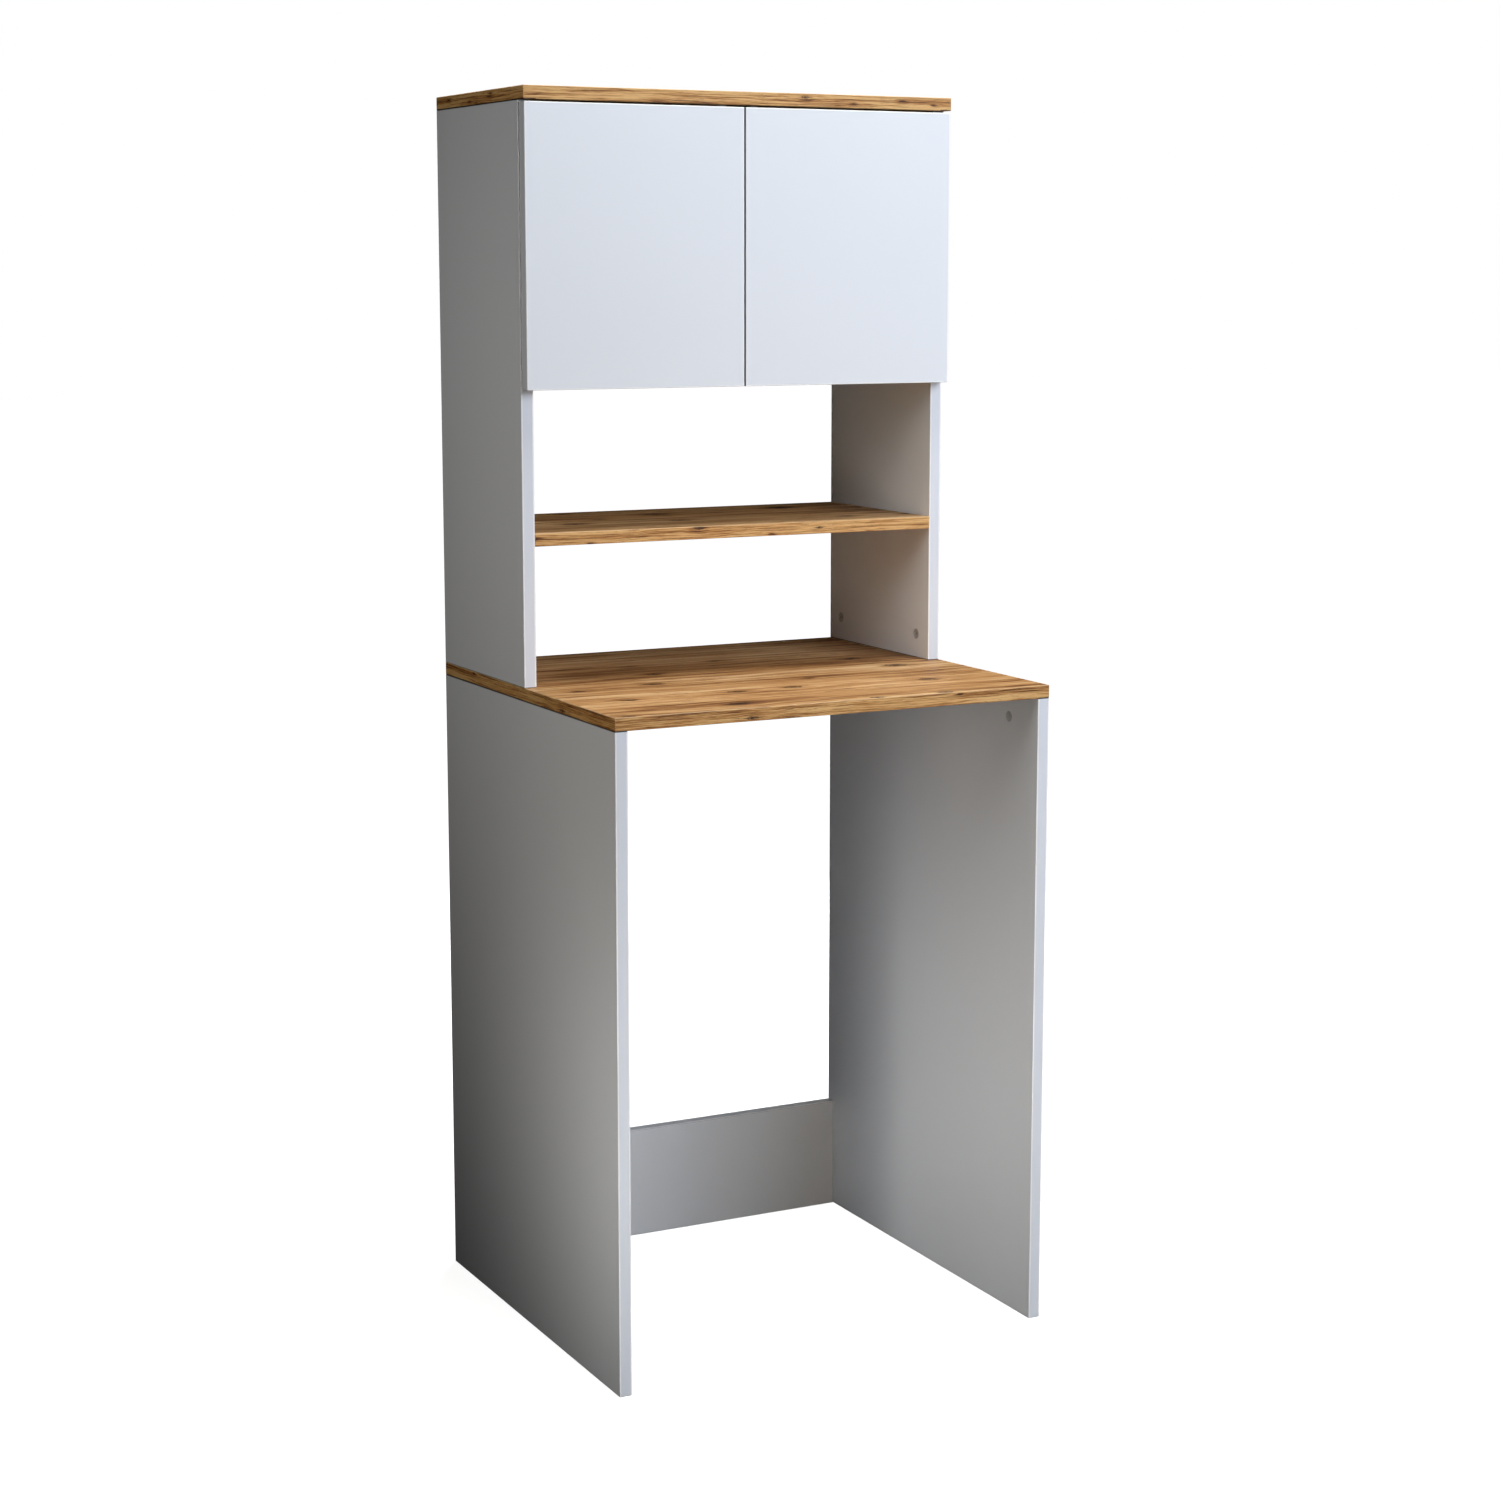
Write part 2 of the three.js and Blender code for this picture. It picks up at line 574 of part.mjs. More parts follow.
for (const [hand, s] of hands) {
  for (const [level, z] of [["top", doorTopZ - hingeInset], ["bottom", doorBottomZ + hingeInset]]) {
    const hinge = new THREE.Group();
    hinge.position.set(s * innerX, upperFrontY, z);
    hinge.rotation.set(s < 0 ? Math.PI : 0, 0, s < 0 ? 0 : Math.PI);
    hinge.updateMatrix();
    cabinet.add(hinge);
    for (const [kind, shape] of Object.entries(hingeShapes)) {
      piece(`hinge_${kind}_${hand}_${level}`, shape, finishes.nickel, hinge);
    }
    const drillFor = (name, geometry, place) => drill(name, placed(placed(geometry, place), hinge.matrix));
    drill(`door_${hand}`, placed(cupBore, hinge.matrix));
    for (const place of cupScrewPlaces()) drillFor(`door_${hand}`, screwHole(cupScrew), place);
    for (const place of plateScrewPlaces()) drillFor(`upper_side_${hand}`, screwHole(plateScrew), place);
  }
}

// Push latches: pressing the door in frees a sprung plunger, which pushes on the door's strike plate

const latchAxisZ = upperTopZ - latch.axisDrop;
const latchFrontY = upperFrontY + latch.setback;
const strikeFaceY = doorBackY + strike.thickness;
const plungerTipY = strikeFaceY + fit;
const strikeTopZ = doorTopZ - strike.topInset;
const strikeScrewZ = strikeTopZ - strike.height + strike.screwInset;

function latchBodyShape(x) {
  const half = latch.height / 2;
  const outline = roundedRectangle(latch.halfWidth, half, latch.corner);
  const tube = slab(outline, 0, latch.length, latch.cornerSteps).rotateX(-Math.PI / 2);
  const body = tube.translate(x, latchFrontY, upperTopZ - half);
  const earY = latchFrontY + latch.earSetback;
  const ear = block(
    [x - latch.earHalf, earY, upperTopZ - latch.earThickness], [x + latch.earHalf, earY + latch.earLength, upperTopZ],
  );
  const bore = rod("y", plunger.radius + fit, -overrun, latch.boreLength, plunger.sides)
    .translate(x, latchFrontY, latchAxisZ);
  return cut(joined(body, ear), [bore]);
}

function latchScrewPlaces(x) {
  const earMiddle = latchFrontY + latch.earSetback + latch.earLength / 2;
  const headDown = up.clone().negate();
  return [-1, 1].map((step) =>
    frameAt([x + step * latch.screwOffset, earMiddle, upperTopZ - latch.earThickness], headDown, north));
}

// The plunger runs along Y, its tip to the front
function plungerShape() {
  const { radius, length, tipChamfer, sides } = plunger;
  const back = -length;
  return turned([
    [0, back], [radius, back], [radius, -tipChamfer], [radius - tipChamfer, 0], [0, 0],
  ], sides).rotateZ(-Math.PI / 2);
}

function strikeShape() {
  const outline = roundedRectangle(strike.halfWidth, strike.height / 2, strike.corner);
  return slab(outline, 0, strike.thickness, strike.cornerSteps).rotateX(-Math.PI / 2);
}

for (const [hand, s] of hands) {
  const x = s * latch.fromMiddle;
  const places = latchScrewPlaces(x);
  for (const place of places) drill("top_board", placed(screwHole(latchScrew), place));
  const screws = places.map((place) => placed(screwShape(latchScrew), place));
  piece(`push_latch_${hand}`, joined(latchBodyShape(x), ...screws), finishes.greyPlastic);
  piece(`latch_plunger_${hand}`, plungerShape(), finishes.greyPlastic).position.set(x, plungerTipY, latchAxisZ);

  const screwPlace = frameAt([x, strikeFaceY, strikeScrewZ], north, up);
  drill(`door_${hand}`, placed(screwHole(cupScrew), screwPlace));
  const strikePlace = new THREE.Matrix4().makeTranslation(x, doorBackY, strikeTopZ - strike.height / 2);
  const strikePlate = joined(placed(strikeShape(), strikePlace), placed(screwShape(cupScrew), screwPlace));
  piece(`strike_plate_${hand}`, strikePlate, finishes.zinc);
}

// The panels, with all their holes and pegs

for (const [name, { low, high, finish, holes, pegs }] of panels) {
  const size = high.map((value, i) => value - low[i]);
  const middle = high.map((value, i) => (value + low[i]) / 2);
  const back = middle.map((value) => -value);
  const [tools, fixed] = [holes, pegs].map((list) => list.map((shape) => shape.clone().translate(...back)));
  piece(name, joined(cut(chamferedBoard(size), tools), ...fixed), finish).position.set(...middle);
}

export default cabinet;
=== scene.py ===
# %% [markdown]
# # A cabinet over a washing machine
#
# The cabinet is a bay of white boards for the machine, an oak-decor worktop, an open niche with a shelf, and
# a cupboard with two doors on concealed hinges. The exact solids of every board and fitting are loaded
# first. This lesson then gives each of them its surface, and models finer fittings where the solids are
# plain: screws with a cross recess, turned hinge cups, cams and nails.

# %% Load the frame
import json
import math

import bmesh
import bpy
from mathutils import Matrix, Vector


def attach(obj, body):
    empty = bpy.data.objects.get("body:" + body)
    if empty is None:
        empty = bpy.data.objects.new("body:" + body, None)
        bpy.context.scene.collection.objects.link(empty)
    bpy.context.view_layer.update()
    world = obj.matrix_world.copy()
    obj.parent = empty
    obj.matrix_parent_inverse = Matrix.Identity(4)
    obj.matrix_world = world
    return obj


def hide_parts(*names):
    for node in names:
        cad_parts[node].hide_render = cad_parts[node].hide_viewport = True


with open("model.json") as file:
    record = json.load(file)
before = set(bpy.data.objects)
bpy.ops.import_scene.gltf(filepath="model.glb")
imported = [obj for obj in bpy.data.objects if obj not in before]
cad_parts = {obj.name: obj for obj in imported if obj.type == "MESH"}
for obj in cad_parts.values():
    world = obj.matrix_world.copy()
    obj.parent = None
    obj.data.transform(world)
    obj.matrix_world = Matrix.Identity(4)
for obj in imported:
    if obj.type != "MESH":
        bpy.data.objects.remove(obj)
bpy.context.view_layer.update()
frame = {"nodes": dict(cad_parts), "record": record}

MM = 0.001  # the scene is in metres, and sizes below are given in millimetres

# %% [markdown]
# ## The camera
#
# The photographer stood to the left of the cabinet, with the camera at about seven eighths of its height. The
# real camera was level, and a large lens shift brought the whole cabinet into the picture. Such a shift would
# cut the top off when the same lens looks from another side, so this camera looks down a little instead and
# keeps next to no shift. The upright edges then lean together by less than a hundredth of the picture.

# %% Camera
IMAGE = 1500  # pixels of the photograph's side
SENSOR = 36.0
FOCAL_PIXELS = 2864.1
MIDDLE_ROW = 720.0  # the row of pixels that the camera looks at
TURN = math.radians(27.06)  # to the right of straight ahead
LOOK_DOWN = math.radians(8.90)
CAMERA_PLACE = Vector((-1825.0, -3608.5, 1480.5)) * MM

camera_data = bpy.data.cameras.new("camera")
camera_data.sensor_width = SENSOR
camera_data.lens = FOCAL_PIXELS * SENSOR / IMAGE
camera_data.shift_y = (MIDDLE_ROW - IMAGE / 2) / IMAGE
camera = bpy.data.objects.new("camera", camera_data)
camera.matrix_world = (
    Matrix.Translation(CAMERA_PLACE)
    @ Matrix.Rotation(-TURN, 4, "Z")
    @ Matrix.Rotation(math.radians(90) - LOOK_DOWN, 4, "X")
)
bpy.context.scene.collection.objects.link(camera)
bpy.context.scene.camera = camera
bpy.context.scene.view_settings.view_transform = "Standard"
print("lens in mm:", round(camera_data.lens, 1))

# %% [markdown]
# ## Helpers for materials
#
# Colours are written as hex values, as a paint chart gives them, and turned to the linear values that
# Blender's shaders work with. One function adds a node, sets its options and fills its inputs, so that a
# material reads from top to bottom like a recipe. The inputs of a node are a list for the sockets that it
# shows, from the top down, or a dict that names them.

# %% Colours and nodes
def colour(code):
    """The linear red, green, blue and alpha of a hex value such as B08454."""
    parts = [int(code[i:i + 2], 16) / 255 for i in (0, 2, 4)]
    return tuple(c / 12.92 if c <= 0.04045 else ((c + 0.055) / 1.055) ** 2.4 for c in parts) + (1.0,)


def fill(tree, socket, value):
    """Fills a socket with a number, a colour, an output, or a node, whose first output in use is taken."""
    if isinstance(value, bpy.types.Node):
        value = next(output for output in value.outputs if output.enabled)
    if isinstance(value, bpy.types.NodeSocket):
        tree.links.new(value, socket)
    else:
        socket.default_value = value


def add(tree, kind, inputs=(), **options):
    """Adds a node with its options and inputs."""
    node = tree.nodes.new("ShaderNode" + kind)
    for option, value in options.items():
        setattr(node, option, value)
    if not isinstance(inputs, dict):
        shown = [i for i, socket in enumerate(node.inputs) if socket.enabled]
        inputs = dict(zip(shown, inputs))
    for socket, value in inputs.items():
        fill(tree, node.inputs[socket], value)
    return node


def new_material(name, **sockets):
    """A material, its nodes, its shader with the even values set, and the place of a point on the piece."""
    material = bpy.data.materials.new(name)
    material.use_nodes = True
    tree = material.node_tree
    shader = tree.nodes["Principled BSDF"]
    for socket, value in sockets.items():
        shader.inputs[socket.replace("_", " ")].default_value = value
    return material, tree, shader, add(tree, "TexCoord").outputs["Object"]


def product(tree, *factors):
    """Numbers and outputs multiplied together, from left to right."""
    total, *others = factors
    for factor in others:
        total = add(tree, "Math", [total, factor], operation="MULTIPLY")
    return total


def mask(tree, *ramps):
    """1 where every ramp is full, and 0 where one is empty. A ramp is a value, its empty and its full end."""
    return product(tree, *(add(tree, "MapRange", ramp) for ramp in ramps))


def paint_over(tree, ground, *covers):
    """A ground with colours laid over it in turn, each as far as its mask covers it."""
    for cover, code in covers:
        ground = add(tree, "Mix", [cover, ground, colour(code)], data_type="RGBA")
    return ground


def dress(tree, shader, tone, rough, height, strength, depth):
    """Wires the colour, the roughness and the bump of a material to its shader."""
    bump = add(tree, "Bump", {"Height": height, "Strength": strength, "Distance": depth})
    for socket, value in (("Base Color", tone), ("Roughness", rough), ("Normal", bump)):
        fill(tree, shader.inputs[socket], value)


def give(node_name, material):
    """Puts one material on a solid of the frame."""
    slots = frame["nodes"][node_name].data.materials
    slots.clear()
    slots.append(material)


# %% [markdown]
# ## White melamine-faced chipboard
#
# The white boards are chipboard pressed with melamine paper: hard, a little cool in colour, with a satin
# sheen that a fine pearl texture breaks up. Their edges are closed with ABS tape about 1 mm thick, which is
# smoother, and between tape and board runs a hairline of glue. The board could be split into pieces to show
# that. Here the material finds the tape by its distance from the board's edge instead, so the solid stays
# whole.

# %% Melamine board
PEARL = 1.6 * MM  # grain of the pressed texture, drawn a little coarser than the real one so that it shows
PEARL_BUMP = (0.25, 0.05 * MM)  # strength and depth
CLOUDS = 6.0  # faint patches of tone to a metre
TAPE = 1.0 * MM  # thickness of the edge tape
GLUE = 0.25 * MM  # width of the glue line
ARRIS = 0.7 * MM  # how far the painted highlight line reaches from the corner onto the broad face
DOOR_ARRIS = 1.7 * MM  # on the doors the painted highlight line reaches further onto the front face
ARRIS_HIGHLIGHT_WIDTH = 1.8 * MM  # how far the painted highlight line reaches from the corner onto the narrow face
SEAM_SHADE_WIDTH = 0.7 * MM  # width of the painted shade line where a board stands on another
MEETING = 1.5 * MM  # what lies nearer than this to the cabinet's middle is a door's meeting edge, painted grey as shade in the gap
# the last white on the next line is a painted highlight along the corners
MELAMINE_FACE, MELAMINE_CLOUD, ARRIS_HIGHLIGHT_WHITE = "E9ECEF", "E7EAED", "FFFFFF"
# the last colour on the next line is painted shade where a side stands on another board
# the third colour on the next line is painted shade on the doors' meeting edges
MELAMINE_TAPE, MELAMINE_GLUE, MEETING_EDGE_SHADE, SEAM_SHADE = "E3E7ED", "B9BCC0", "B0B4B9", "3C4046"
FACE_ROUGHNESS, TAPE_ROUGHNESS = (0.40, 0.52), 0.36


def inset_from(tree, place, low, high):
    """How deep a point lies in a board: from its four narrow sides, and from its two broad faces."""
    axes = add(tree, "SeparateXYZ", [place]).outputs
    size = high - low
    depths = []
    for i in range(3):
        offset = add(tree, "Math", [axes[i], (low[i] + high[i]) / 2], operation="SUBTRACT")
        from_middle = add(tree, "Math", [offset], operation="ABSOLUTE")
        depths.append(add(tree, "Math", [size[i] / 2, from_middle], operation="SUBTRACT"))
    from_faces = depths.pop(min(range(3), key=lambda i: size[i]))
    return add(tree, "Math", depths, operation="MINIMUM"), from_faces


def melamine_board(name, low, high, stands=False, closes=False):
    # Paper soaked in melamine resin, pressed on chipboard with a pearl texture and edged with ABS tape: a
    # cool white with a soft satin sheen, a clearer sheen on the tape and a thin grey glue line by it. A pale
    # line along the corners is a painted highlight; the grey meeting edges of the doors and the dark ends of
    # the sides are painted shade
    material, tree, shader, place = new_material(f"melamine_{name}", IOR=1.5)
    x, _, z = add(tree, "SeparateXYZ", [place]).outputs
    distance, from_faces = inset_from(tree, place, low, high)
    arris = DOOR_ARRIS if closes else ARRIS
    tape = mask(tree, (distance, TAPE + GLUE / 2, TAPE))
    glue = mask(tree, (distance, TAPE - GLUE / 2, TAPE), (distance, TAPE + GLUE * 1.5, TAPE + GLUE))
    # painted highlight: a pale line along every corner of the board
    arris_highlight = mask(tree, (distance, arris, arris * 0.8), (from_faces, ARRIS_HIGHLIGHT_WIDTH * 1.2, ARRIS_HIGHLIGHT_WIDTH))
    pearl = add(tree, "TexNoise", {"Vector": place, "Scale": 1 / PEARL, "Detail": 2.0})
    cloud = add(tree, "TexNoise", {"Vector": place, "Scale": CLOUDS, "Detail": 3.0})
    covers = [(cloud, MELAMINE_FACE), (tape, MELAMINE_TAPE), (glue, MELAMINE_GLUE), (arris_highlight, ARRIS_HIGHLIGHT_WHITE)]
    # painted shade: the doors' meeting edges are drawn grey for the shadow in the gap between them
    if closes:
        from_gap = add(tree, "Math", [x], operation="ABSOLUTE")
        covers.append((add(tree, "Math", [from_gap, MEETING], operation="LESS_THAN"), MEETING_EDGE_SHADE))
    # painted shade: a dark line at a side's ends, where it stands on another board
    if stands:
        from_ends = [add(tree, "Math", ends, operation="SUBTRACT") for ends in ((z, low.z), (high.z, z))]
        nearer = add(tree, "Math", from_ends, operation="MINIMUM")
        covers.append((mask(tree, (nearer, SEAM_SHADE_WIDTH * 1.2, SEAM_SHADE_WIDTH)), SEAM_SHADE))
    painted = paint_over(tree, colour(MELAMINE_CLOUD), *covers)
    rough = add(tree, "Mix", [tape, add(tree, "Mix", [pearl, *FACE_ROUGHNESS]), TAPE_ROUGHNESS])
    off_tape = add(tree, "Math", [1.0, tape], operation="SUBTRACT")
    dress(tree, shader, painted, rough, product(tree, pearl, off_tape), *PEARL_BUMP)
    return material


# The panels' own faces, in mm, without the dowels that stand out of some of them
OUTER_X, BOARD = 330.0, 18.0
FRONT_Y, BACK_Y = -301.5, 298.5
UPPER_DEPTH = 300.0
UPPER_FRONT_Y = BACK_Y - UPPER_DEPTH
BASE_TOP, WORKTOP_TOP, UPPER_TOP = 897.0, 915.0, 1707.0
RAIL_TOP = 169.0
SHELF_Z, CUPBOARD_Z = 1109.0, 1322.0  # undersides of the shelf and of the cupboard's floor
DOOR_TOP, DOOR_BACK_Y, DOOR_GAP, DOOR_INSET = 1704.0, -3.5, 1.3, 1.3
INNER_X = OUTER_X - BOARD


def in_metres(low, high):
    return Vector(low) * MM, Vector(high) * MM


WHITE_BOARDS = {"rear_rail": in_metres((-INNER_X, BACK_Y - BOARD, 0), (INNER_X, BACK_Y, RAIL_TOP)),
                "cupboard_floor": in_metres((-INNER_X, UPPER_FRONT_Y, CUPBOARD_Z),
                                            (INNER_X, BACK_Y, CUPBOARD_Z + BOARD))}
for hand, sign in (("left", -1), ("right", 1)):
    near, far = sorted((sign * INNER_X, sign * OUTER_X))
    WHITE_BOARDS[f"base_side_{hand}"] = in_metres((near, FRONT_Y, 0), (far, BACK_Y, BASE_TOP))
    WHITE_BOARDS[f"upper_side_{hand}"] = in_metres((near, UPPER_FRONT_Y, WORKTOP_TOP),
                                                   (far, BACK_Y, UPPER_TOP))
    near, far = sorted((sign * DOOR_GAP, sign * (OUTER_X - DOOR_INSET)))
    WHITE_BOARDS[f"door_{hand}"] = in_metres((near, DOOR_BACK_Y - BOARD, CUPBOARD_Z),
                                             (far, DOOR_BACK_Y, DOOR_TOP))
for name, (low, high) in WHITE_BOARDS.items():
    give(name, melamine_board(name, low, high, stands="side" in name, closes="door" in name))
print("white boards:", len(WHITE_BOARDS))

# %% [markdown]
# ## Oak decor
#
# Worktop, shelf and top board carry a printed foil with the picture of rustic oak: long strips of tone,
# fibres along the board, knots with a dark rim that the grain runs round, and short cracks. A picture of wood
# could be laid on, but it would repeat, and stretch on the narrow edges. Here the print is built up from
# stretched noise, whose specks are given in millimetres along and across the grain. The edges have a tape of
# their own, with a finer and stronger print, so the same recipe is run with smaller scales wherever a point
# lies on an edge. A pale line is painted along the tape's upper corner as a highlight, and a dark line of
# painted shade runs where the board lies on a side.

# %% Oak noises
# Length and width of the specks in mm, what is added to the board's seed, and the detail and roughness
OAK_NOISES = {
    "sway": (300.0, 160.0, 0.3, 2.0, 0.5),
    "ragged": (12.0, 5.0, 4.1, 3.0, 0.7),
    "strips": (900.0, 48.0, 1.7, 1.0, 0.5),
    "streaks": (380.0, 17.0, 2.9, 2.0, 0.6),
    "grain": (170.0, 6.0, 5.3, 3.0, 0.7),
    "fibres": (50.0, 2.4, 6.1, 2.0, 0.6),
    "cracks": (42.0, 3.0, 7.7, 2.0, 0.6),
    "patches": (200.0, 90.0, 8.8, 2.0, 0.5),
}


def oak_noise(tree, kind, along, across, seed):
    """One of the noises, from 0 to 1, in the plane of the grain."""
    length, width, step, detail, roughness = OAK_NOISES[kind]
    place = [product(tree, along, 1 / (length * MM)), product(tree, across, 1 / (width * MM)), seed + step]
    sockets = {"Vector": add(tree, "CombineXYZ", place), "Scale": 1.0, "Detail": detail,
               "Roughness": roughness}
    return mask(tree, (add(tree, "TexNoise", sockets), 0.3, 0.7))


def weighted(tree, *parts):
    """The sum of outputs, each times its weight."""
    total = 0.0
    for part, weight in parts:
        total = add(tree, "Math", [part, weight, total], operation="MULTIPLY_ADD")
    return total


# %% Oak knots
KNOT_CELL = (170.0, 110.0)  # mm between knots, along and across the grain
KNOT_SIZE = (14.5, 9.0)  # half length and half width of a knot, in mm
KNOT_SCALE = (0.45, 1.25)  # the smallest and the largest knot, times that size
EMPTY_CELLS = 0.3  # share of the cells that have no knot
# Where each part of a knot begins and is full, counted in half sizes from its middle
KNOT_CORE, KNOT_HALO, GRAIN_BENDS = (0.95, 0.75), (3.6, 1.0), (4.5, 0.0)
RIM_INSIDE, RIM_OUTSIDE = (0.95, 1.25), (1.65, 1.35)
SPLIT_ACROSS, SPLIT_ALONG = (0.34, 0.1), (2.6, 1.6)
FRAY, SPLIT_FRAY = 0.6, 1.2  # how far a ragged noise frays the borders, in half sizes
RIM_STRENGTH = 0.75


def oak_knots(tree, along, across, seed):
    """The knots' dark parts, the shade round them, and how far they push the grain aside."""
    in_cells = [product(tree, way, 1 / (cell * MM)) for way, cell in zip((along, across), KNOT_CELL)]
    place = add(tree, "CombineXYZ", in_cells)
    sockets = {"Vector": place, "Scale": 1.0, "Randomness": 0.85}
    cells = add(tree, "TexVoronoi", sockets, voronoi_dimensions="2D").outputs
    offset = add(tree, "VectorMath", [place, cells["Position"]], operation="SUBTRACT")
    offsets = add(tree, "SeparateXYZ", [offset]).outputs[:2]
    pick_one, pick_size, _ = add(tree, "SeparateColor", [cells["Color"]]).outputs
    has_knot = add(tree, "Math", [pick_one, EMPTY_CELLS], operation="GREATER_THAN")
    size = add(tree, "Mix", [pick_size, *KNOT_SCALE])
    parts = []
    for way, between, half in zip(offsets, KNOT_CELL, KNOT_SIZE):
        parts.append(add(tree, "Math", [product(tree, way, between / half), size], operation="DIVIDE"))
    squares = [(product(tree, part, part), 1.0) for part in parts]
    reach = add(tree, "Math", [weighted(tree, *squares)], operation="SQRT")
    far_along, far_across = (add(tree, "Math", [part], operation="ABSOLUTE") for part in parts)

    ragged = oak_noise(tree, "ragged", along, across, seed)
    rough_reach = add(tree, "Math", [ragged, FRAY, reach], operation="MULTIPLY_ADD")
    rough_along = add(tree, "Math", [ragged, SPLIT_FRAY, far_along], operation="MULTIPLY_ADD")
    core = mask(tree, (rough_reach, *KNOT_CORE))
    rim = mask(tree, (rough_reach, *RIM_INSIDE), (rough_reach, *RIM_OUTSIDE))
    split = mask(tree, (far_across, *SPLIT_ACROSS), (rough_along, *SPLIT_ALONG))
    dark_parts = add(tree, "Math", [core, product(tree, rim, RIM_STRENGTH)], operation="MAXIMUM")
    dark_parts = add(tree, "Math", [dark_parts, split], operation="MAXIMUM")
    halo = mask(tree, (rough_reach, *KNOT_HALO))
    pull = mask(tree, (reach, *GRAIN_BENDS))
    knot, halo, pull = (product(tree, part, has_knot) for part in (dark_parts, halo, pull))
    return knot, halo, product(tree, offsets[1], pull)


# %% Oak decor foil
OAK_TONES = [(0.0, "54361C"), (0.2, "7F532D"), (0.42, "A97B4A"), (0.64, "C09360"), (1.0, "E2C091")]
# the last two colours on the next line are painted: shade at the seam over a side, and a highlight along the
# upper corner
KNOT_DARK, CRACK_DARK, SEAM_SHADE_BROWN, OAK_ARRIS_HIGHLIGHT = "1C1008", "38220F", "1E140C", "E6CBA2"
EDGE_TINT = "FFF1D2"  # the edge tape's print is a little warmer
EDGE_BAND = 0.7 * MM  # what lies no deeper than this is on an edge
EDGE_FINER = (2.2, 4.5)  # how much finer the edge tape's print is, along and across
BOARD_SHIFT = (0.731, 0.417)  # metres from one board's stretch of print to the next, along and across
SWAY = 14.0 * MM  # how far the grain wanders sideways
SPREAD = 0.8  # how far a knot pushes the grain, as a share of its distance from the knot
# How much each noise gives to the tone, then the contrast and the middle tone: on a face, and on an edge
TONE_SHARES = {"strips": (0.2, 0.2), "streaks": (0.3, 0.2), "grain": (0.32, 0.4), "fibres": (0.18, 0.18)}
CONTRAST, FACE_LIGHT, HALO_SHADE = (1.9, 3.0), 0.56, 0.1
CRACKED, PATCHED = (0.8, 0.9), (0.35, 0.65)  # where the two noises begin and are full
OAK_ARRIS, OAK_SEAM_SHADE = (1.3 * MM, 0.7 * MM), (1.3 * MM, 0.9 * MM)  # begin and full, from above and from below: the painted highlight by the upper corner, the painted shade by the lower
# how strongly each colour is laid on; the last two are the painted highlight and the painted shade
CRACK_COVER, KNOT_COVER, ARRIS_HIGHLIGHT_COVER, SEAM_SHADE_COVER = 0.8, 0.94, 0.45, 0.9
OAK_ROUGHNESS, OAK_BUMP = (0.5, 0.66), (0.35, 0.12 * MM)


def oak_colour(tree, tone):
    ramp = add(tree, "ValToRGB", [tone])
    stops = ramp.color_ramp.elements
    while len(stops) < len(OAK_TONES):
        stops.new(0.5)
    for stop, (position, code) in zip(stops, OAK_TONES):
        stop.position, stop.color = position, colour(code)
    return ramp


